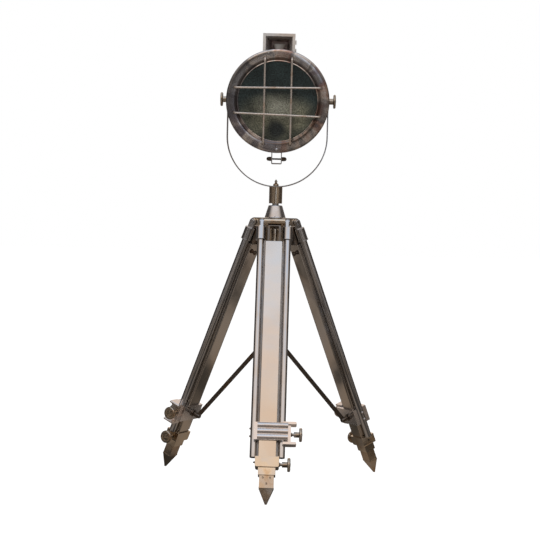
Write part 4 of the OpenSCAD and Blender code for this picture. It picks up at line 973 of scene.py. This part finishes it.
def makeGuard():
    g = guardRods
    half = sqrt(g["reach"] ** 2 - g["offset"] ** 2)
    points, edges, feet = [], [], []
    for turn, off, height in ((90, g["offset"], g["upright"]), (90, -g["offset"], g["upright"]),
                              (g["tilts"][0], g["offset"], g["cross"]),
                              (g["tilts"][1], -g["offset"], g["cross"])):
        spin = spun(turn, "Z")
        start = len(points)
        points += [spin @ Vector(p) for p in ((-half, off, g["foot"]), (-half, off, height),
                                              (half, off, height), (half, off, g["foot"]))]
        edges += [(start + k, start + k + 1) for k in range(3)]
        feet += [spin @ Vector((end, off, g["feetHeight"])) for end in (-half, half)]
    lines = bpy.data.meshes.new("guardLines")
    lines.from_pydata(scaled(points), edges, [])
    rods = grow("guardRods", trees["rod"], lines, {"Radius": g["radius"] * mm, "Bend": g["bend"] * mm,
                                                   "Sides": 18, "Bend Steps": 8}, "wire")
    settle("guardRods", rods, frontPlace, "head", "wire", ["guard"], corner=50)
    screwHeads("guardFeet", feet, [(0, 0, 1)] * 8, [g["footRadius"]] * 8, g["footCut"], 1, frontPlace,
               "head", "dark")


def makeDrum():
    s, c = shell, cover
    r, w, front, back = s["radius"], s["wall"], s["front"], s["back"]
    bead = [(r + s["bead"] * share, s["beadAt"] + along)
            for share, along in ((0, 3.5), (0.75, 2), (1, 0), (0.75, -2), (0, -3.5))]
    section = [(s["flange"], front), (r - s["edge"], front), (r, front - s["edge"])] + bead
    section += [(r, back), (r - w, back), (r - w, front - w), (s["flange"], front - w)]
    # The shell and the cover take the ring's painted reflections
    settle("drumShell", turned(section, 128, loop=True), frontPlace, "head", "paintedReflections", ["drum"])
    ball = (r * r + c["rise"] ** 2) / (2 * c["rise"])
    edge, lip = r + c["gap"] + w, back + c["lap"]

    def dome(radius, thick):
        share = (c["stepRadius"] + c["stepWidth"] / 2 - radius) / c["stepWidth"]
        sink = c["stepDepth"] * max(0.0, min(1.0, share))
        return (radius, ball - c["rise"] + back - sqrt((ball + thick) ** 2 - radius ** 2) + sink)

    steps = c["steps"]
    section = [dome(edge * k / steps, w) for k in range(steps + 1)]
    section += [(edge, lip - 0.6), (edge - 0.6, lip), (r + c["gap"], lip), (r + c["gap"], back - 0.1),
                (r - 2 * w, back - 0.1)]
    section += [dome((r - 2 * w) * k / steps, 0) for k in range(steps, -1, -1)]
    settle("rearCover", turned(section, 128), frontPlace, "head", "paintedReflections", ["rear_cover"],
           1.3)
    angles = [2 * pi * (k + 0.5) / c["screws"] for k in range(c["screws"])]
    screwHeads("coverScrews", [(edge * cos(a), edge * sin(a), back + c["screwLift"]) for a in angles],
               [(cos(a), sin(a), 0) for a in angles], [c["screwRadius"]] * c["screws"],
               c["screwCut"], 11, frontPlace, "head", "knob")


def makeLightParts():
    b = bowl
    line = []
    for k in range(b["steps"] + 1):
        radius = b["hole"] + (b["rim"] - b["hole"]) * (1 - k / b["steps"])
        line.append((radius, b["front"] - b["depth"] * (1 - radius ** 2 / b["rim"] ** 2)))
    section = [(b["flange"], b["front"])] + line
    section += [(radius, height - b["wall"]) for radius, height in section[::-1]]
    settle("reflectorBowl", turned(section, 128, loop=True), frontPlace, "head", "mirror", ["reflector"])
    g = bulb
    start = asin(g["neck"] / g["radius"])
    arc = [(pi - start) * (1 - k / g["steps"]) for k in range(g["steps"] + 1)]
    outside, inside = ([(r * sin(a), g["middle"] + r * cos(a)) for a in arc]
                       for r in (g["radius"], g["radius"] - g["wall"]))
    shape = turned([(g["neck"], g["neckEnd"])] + outside, 64)
    added(shape, turned(inside[::-1] + [(g["neck"] - g["wall"], g["neckEnd"])], 64))
    added(shape, turned(rounded(g["base"], 0.8), 48))
    settle("bulbGlobe", shape, frontPlace, "head", "bulb", ["bulb"])
    ringStack("bulbThread", g["thread"], frontPlace, "head", "knob")


def makeGland():
    g = gland
    # The nut's face on the dome, found from the CAD node's own box in the head's frame
    back = headPlace.inverted()
    face = max((back @ vert.co).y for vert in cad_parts["cable_gland"].data.vertices) - g["out"] * mm
    place = headPlace @ Matrix.Translation((0, face, g["height"] * mm)) @ spun(-90, "X")
    shape = turned(rounded(g["tube"], g["round"], closed=True), 48, loop=True)
    added(shape, turned(g["nut"], 6))
    settle("cableGland", shape, place, "head", "dark", ["cable_gland"])
    ringStack("glandRibs", g["ribs"], place, "head", "rubber")


keptHeadShapes = [
    ("ventHood", "vent_hood", "hood", "cast_alloy", 0.4),
    ("ventCap", "vent_cap", "vent", "cast_alloy", 0.4),
    ("shackleStrap", "shackle", "rod", "nickel", 0.6),
    ("shackleBolt", "shackle_bolt", "dark", "dark_nickel", 0.4),
    ("tiltStuds", "tilt_studs", "dark", "nickel", 0.5),
]


def makeHeadFittings():
    makeGland()
    for name, node, finish, slot, bevel in keptHeadShapes:
        keep(name, node, headPlace, "head", finish, bevel)
    makeTiltKnob("tiltKnobRight", "tilt_knob_right", headPlace, 0.1)
    makeTiltKnob("tiltKnobLeft", "tilt_knob_left", headPlace @ spun(180, "Z"), 0.4)


makeRing()
makeGlass()
makeGuard()
makeDrum()
makeLightParts()
makeHeadFittings()
print("head made")

# CAD nodes that stay as they are, behind or inside other pieces
for node, place, finish in (("spigot", axisPlace, "rod"), ("lens_gasket", headPlace, "rubber"),
                            ("lamp_holder", headPlace, "ceramic")):
    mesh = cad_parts[node].data
    spots = mesh.attributes.new("madeAt", "FLOAT_VECTOR", "POINT")
    back = place.inverted()
    for spot, vert in zip(spots.data, mesh.vertices):
        spot.vector = back @ vert.co
    mesh.materials.clear()
    mesh.materials.append(finishes[finish])

# Floor, world and lamps
studio = {
    "floorSize": 30,
    "floorShow": 0.93,
    "floorShade": 0.22,
    "floorLit": (200, 196, 190),
    "floorGlowFront": (166, 156, 148),
    "floorGlowBack": (134, 121, 109),
    "floorShadeBlots": (62, 58, 54),
    "roomDark": (58, 51, 46),
    "roomLow": (158, 146, 134),
    "roomWarm": (255, 236, 220),
    "roomHigh": (226, 234, 246),
    "roomSide": (64, 58, 54),
    "sides": (0.15, 0.1, 1.0),
    "window": (232, 236, 244),
    "windowAcross": (0.14, 0.04, 0.1),
    "windowUp": (0.12, 0.16, 0.26),
    "fill": 0.5,
    "lampAim": (0, 0.05, 0.8),
    "lamps": [
        {"name": "keyLamp", "place": (-1.3, -3.4, 3.2), "size": (2.2, 1.6), "power": 70.0},
        {"name": "sideLamp", "place": (3.0, -1.6, 1.8), "size": (0.5, 2.4), "power": 20.0},
        {"name": "backLamp", "place": (-1.8, 2.8, 2.6), "size": (1.4, 1.4), "power": 24.0},
    ],
}


def grey(value):
    return (value,) * 3 + (1,)


def makeFloor():
    # White to the camera, with the shadow on it. To metal it glows with painted light and shade: grey,
    # paler in front of the lamp, with painted dark blots
    material, tree = emptyMaterial("paleFloor")
    path = put(tree, "ShaderNodeLightPath").outputs
    lit = put(tree, "ShaderNodeBsdfDiffuse", {"Color": tone(*studio["floorLit"])})
    glow = put(tree, "ShaderNodeEmission", {"Color": grey(1), "Strength": studio["floorShow"]})
    dim = put(tree, "ShaderNodeBsdfDiffuse", {"Color": grey(studio["floorShade"])})
    shown = put(tree, "ShaderNodeAddShader", {0: dim, 1: glow})
    # What metal sees of the floor: a painted glow, paler in front of the lamp, with painted dark blots of
    # shade
    spot = put(tree, "ShaderNodeTexCoord").outputs["Object"]
    ahead = sums(tree, "ADD", axes(tree, spot)["Y"],
                 stretch(tree, noise(tree, spot, 0.8, 3.0), 0.3, 0.7, -0.8, 0.8))
    ground = blend(tree, stretch(tree, ahead, -1.0, -2.6), tone(*studio["floorGlowBack"]),
                   tone(*studio["floorGlowFront"]))
    shadeBlots = stretch(tree, noise(tree, spot, 1.9, 2.0), 0.44, 0.56, smooth=True)
    paintedFloorGlow = put(tree, "ShaderNodeEmission", {0: blend(tree, shadeBlots, ground, tone(*studio["floorShadeBlots"]))})
    mixed = put(tree, "ShaderNodeMixShader", {0: path["Is Glossy Ray"], 1: lit, 2: paintedFloorGlow})
    mixed = put(tree, "ShaderNodeMixShader", {0: path["Is Camera Ray"], 1: mixed,
                                              2: shown})
    put(tree, "ShaderNodeOutputMaterial", {"Surface": mixed})
    shape = bmesh.new()
    bmesh.ops.create_grid(shape, x_segments=8, y_segments=8, size=studio["floorSize"])
    mesh = bpy.data.meshes.new("floor")
    shape.to_mesh(mesh)
    shape.free()
    mesh.materials.append(material)
    linked("floor", mesh)


def makeWorld():
    # The camera sees white. Metal and glass see the backdrop with the shading of a room: dark towards
    # the horizon and the sides, warm and then bluish white above, and a window behind the camera
    world = bpy.data.worlds.new("studio")
    world.use_nodes = True
    tree = world.node_tree
    tree.nodes.clear()
    way = put(tree, "ShaderNodeTexCoord").outputs["Generated"]
    parts = axes(tree, way)
    level = sums(tree, "ADD", parts["Z"], stretch(tree, noise(tree, way, 3.4, 2.0), 0.3, 0.7, -0.05, 0.05))
    flat = vectors(tree, "MULTIPLY", way, (1, 1, 0))
    sideways = peak(tree, axes(tree, vectors(tree, "NORMALIZE", flat))["Y"], *studio["sides"])
    stripes = stretch(tree, noise(tree, flat, 4.6, 1.0), 0.44, 0.58, smooth=True)
    colour = blend(tree, stripes, tone(*studio["roomDark"]), tone(*studio["roomLow"]))
    colour = blend(tree, stretch(tree, level, 0.2, 0.54, smooth=True), colour, tone(*studio["roomWarm"]))
    colour = blend(tree, stretch(tree, level, 0.6, 0.69, smooth=True), colour, tone(*studio["roomHigh"]))
    colour = blend(tree, sideways, colour, tone(*studio["roomSide"]))
    window = sums(tree, "MULTIPLY", peak(tree, parts["X"], *studio["windowAcross"]),
                  peak(tree, parts["Z"], *studio["windowUp"]))
    window = sums(tree, "MULTIPLY", window, sums(tree, "LESS_THAN", parts["Y"]))
    colour = blend(tree, window, colour, tone(*studio["window"]))
    path = put(tree, "ShaderNodeLightPath").outputs
    shiny = sums(tree, "MAXIMUM", path["Is Glossy Ray"], path["Is Transmission Ray"])
    colour = blend(tree, shiny, grey(studio["fill"]), colour)
    colour = blend(tree, path["Is Camera Ray"], colour, grey(1))
    sky = put(tree, "ShaderNodeBackground", {"Color": colour, "Strength": 1.0})
    put(tree, "ShaderNodeOutputWorld", {"Surface": sky})
    bpy.context.scene.world = world


def makeLamps():
    target = Vector(studio["lampAim"])
    for lamp in studio["lamps"]:
        data = bpy.data.lights.new(lamp["name"], "AREA")
        data.shape = "RECTANGLE"
        data.size, data.size_y = lamp["size"]
        data.energy = lamp["power"]
        item = linked(lamp["name"], data)
        item.location = lamp["place"]
        item.rotation_euler = (target - Vector(lamp["place"])).to_track_quat("-Z", "Y").to_euler()
        item.visible_camera = False
        item.visible_glossy = False  # metal and glass show the room and not the lamps
        item.visible_transmission = False


makeFloor()
makeWorld()
makeLamps()
bpy.context.scene.view_settings.view_transform = "Standard"
print("studio made")
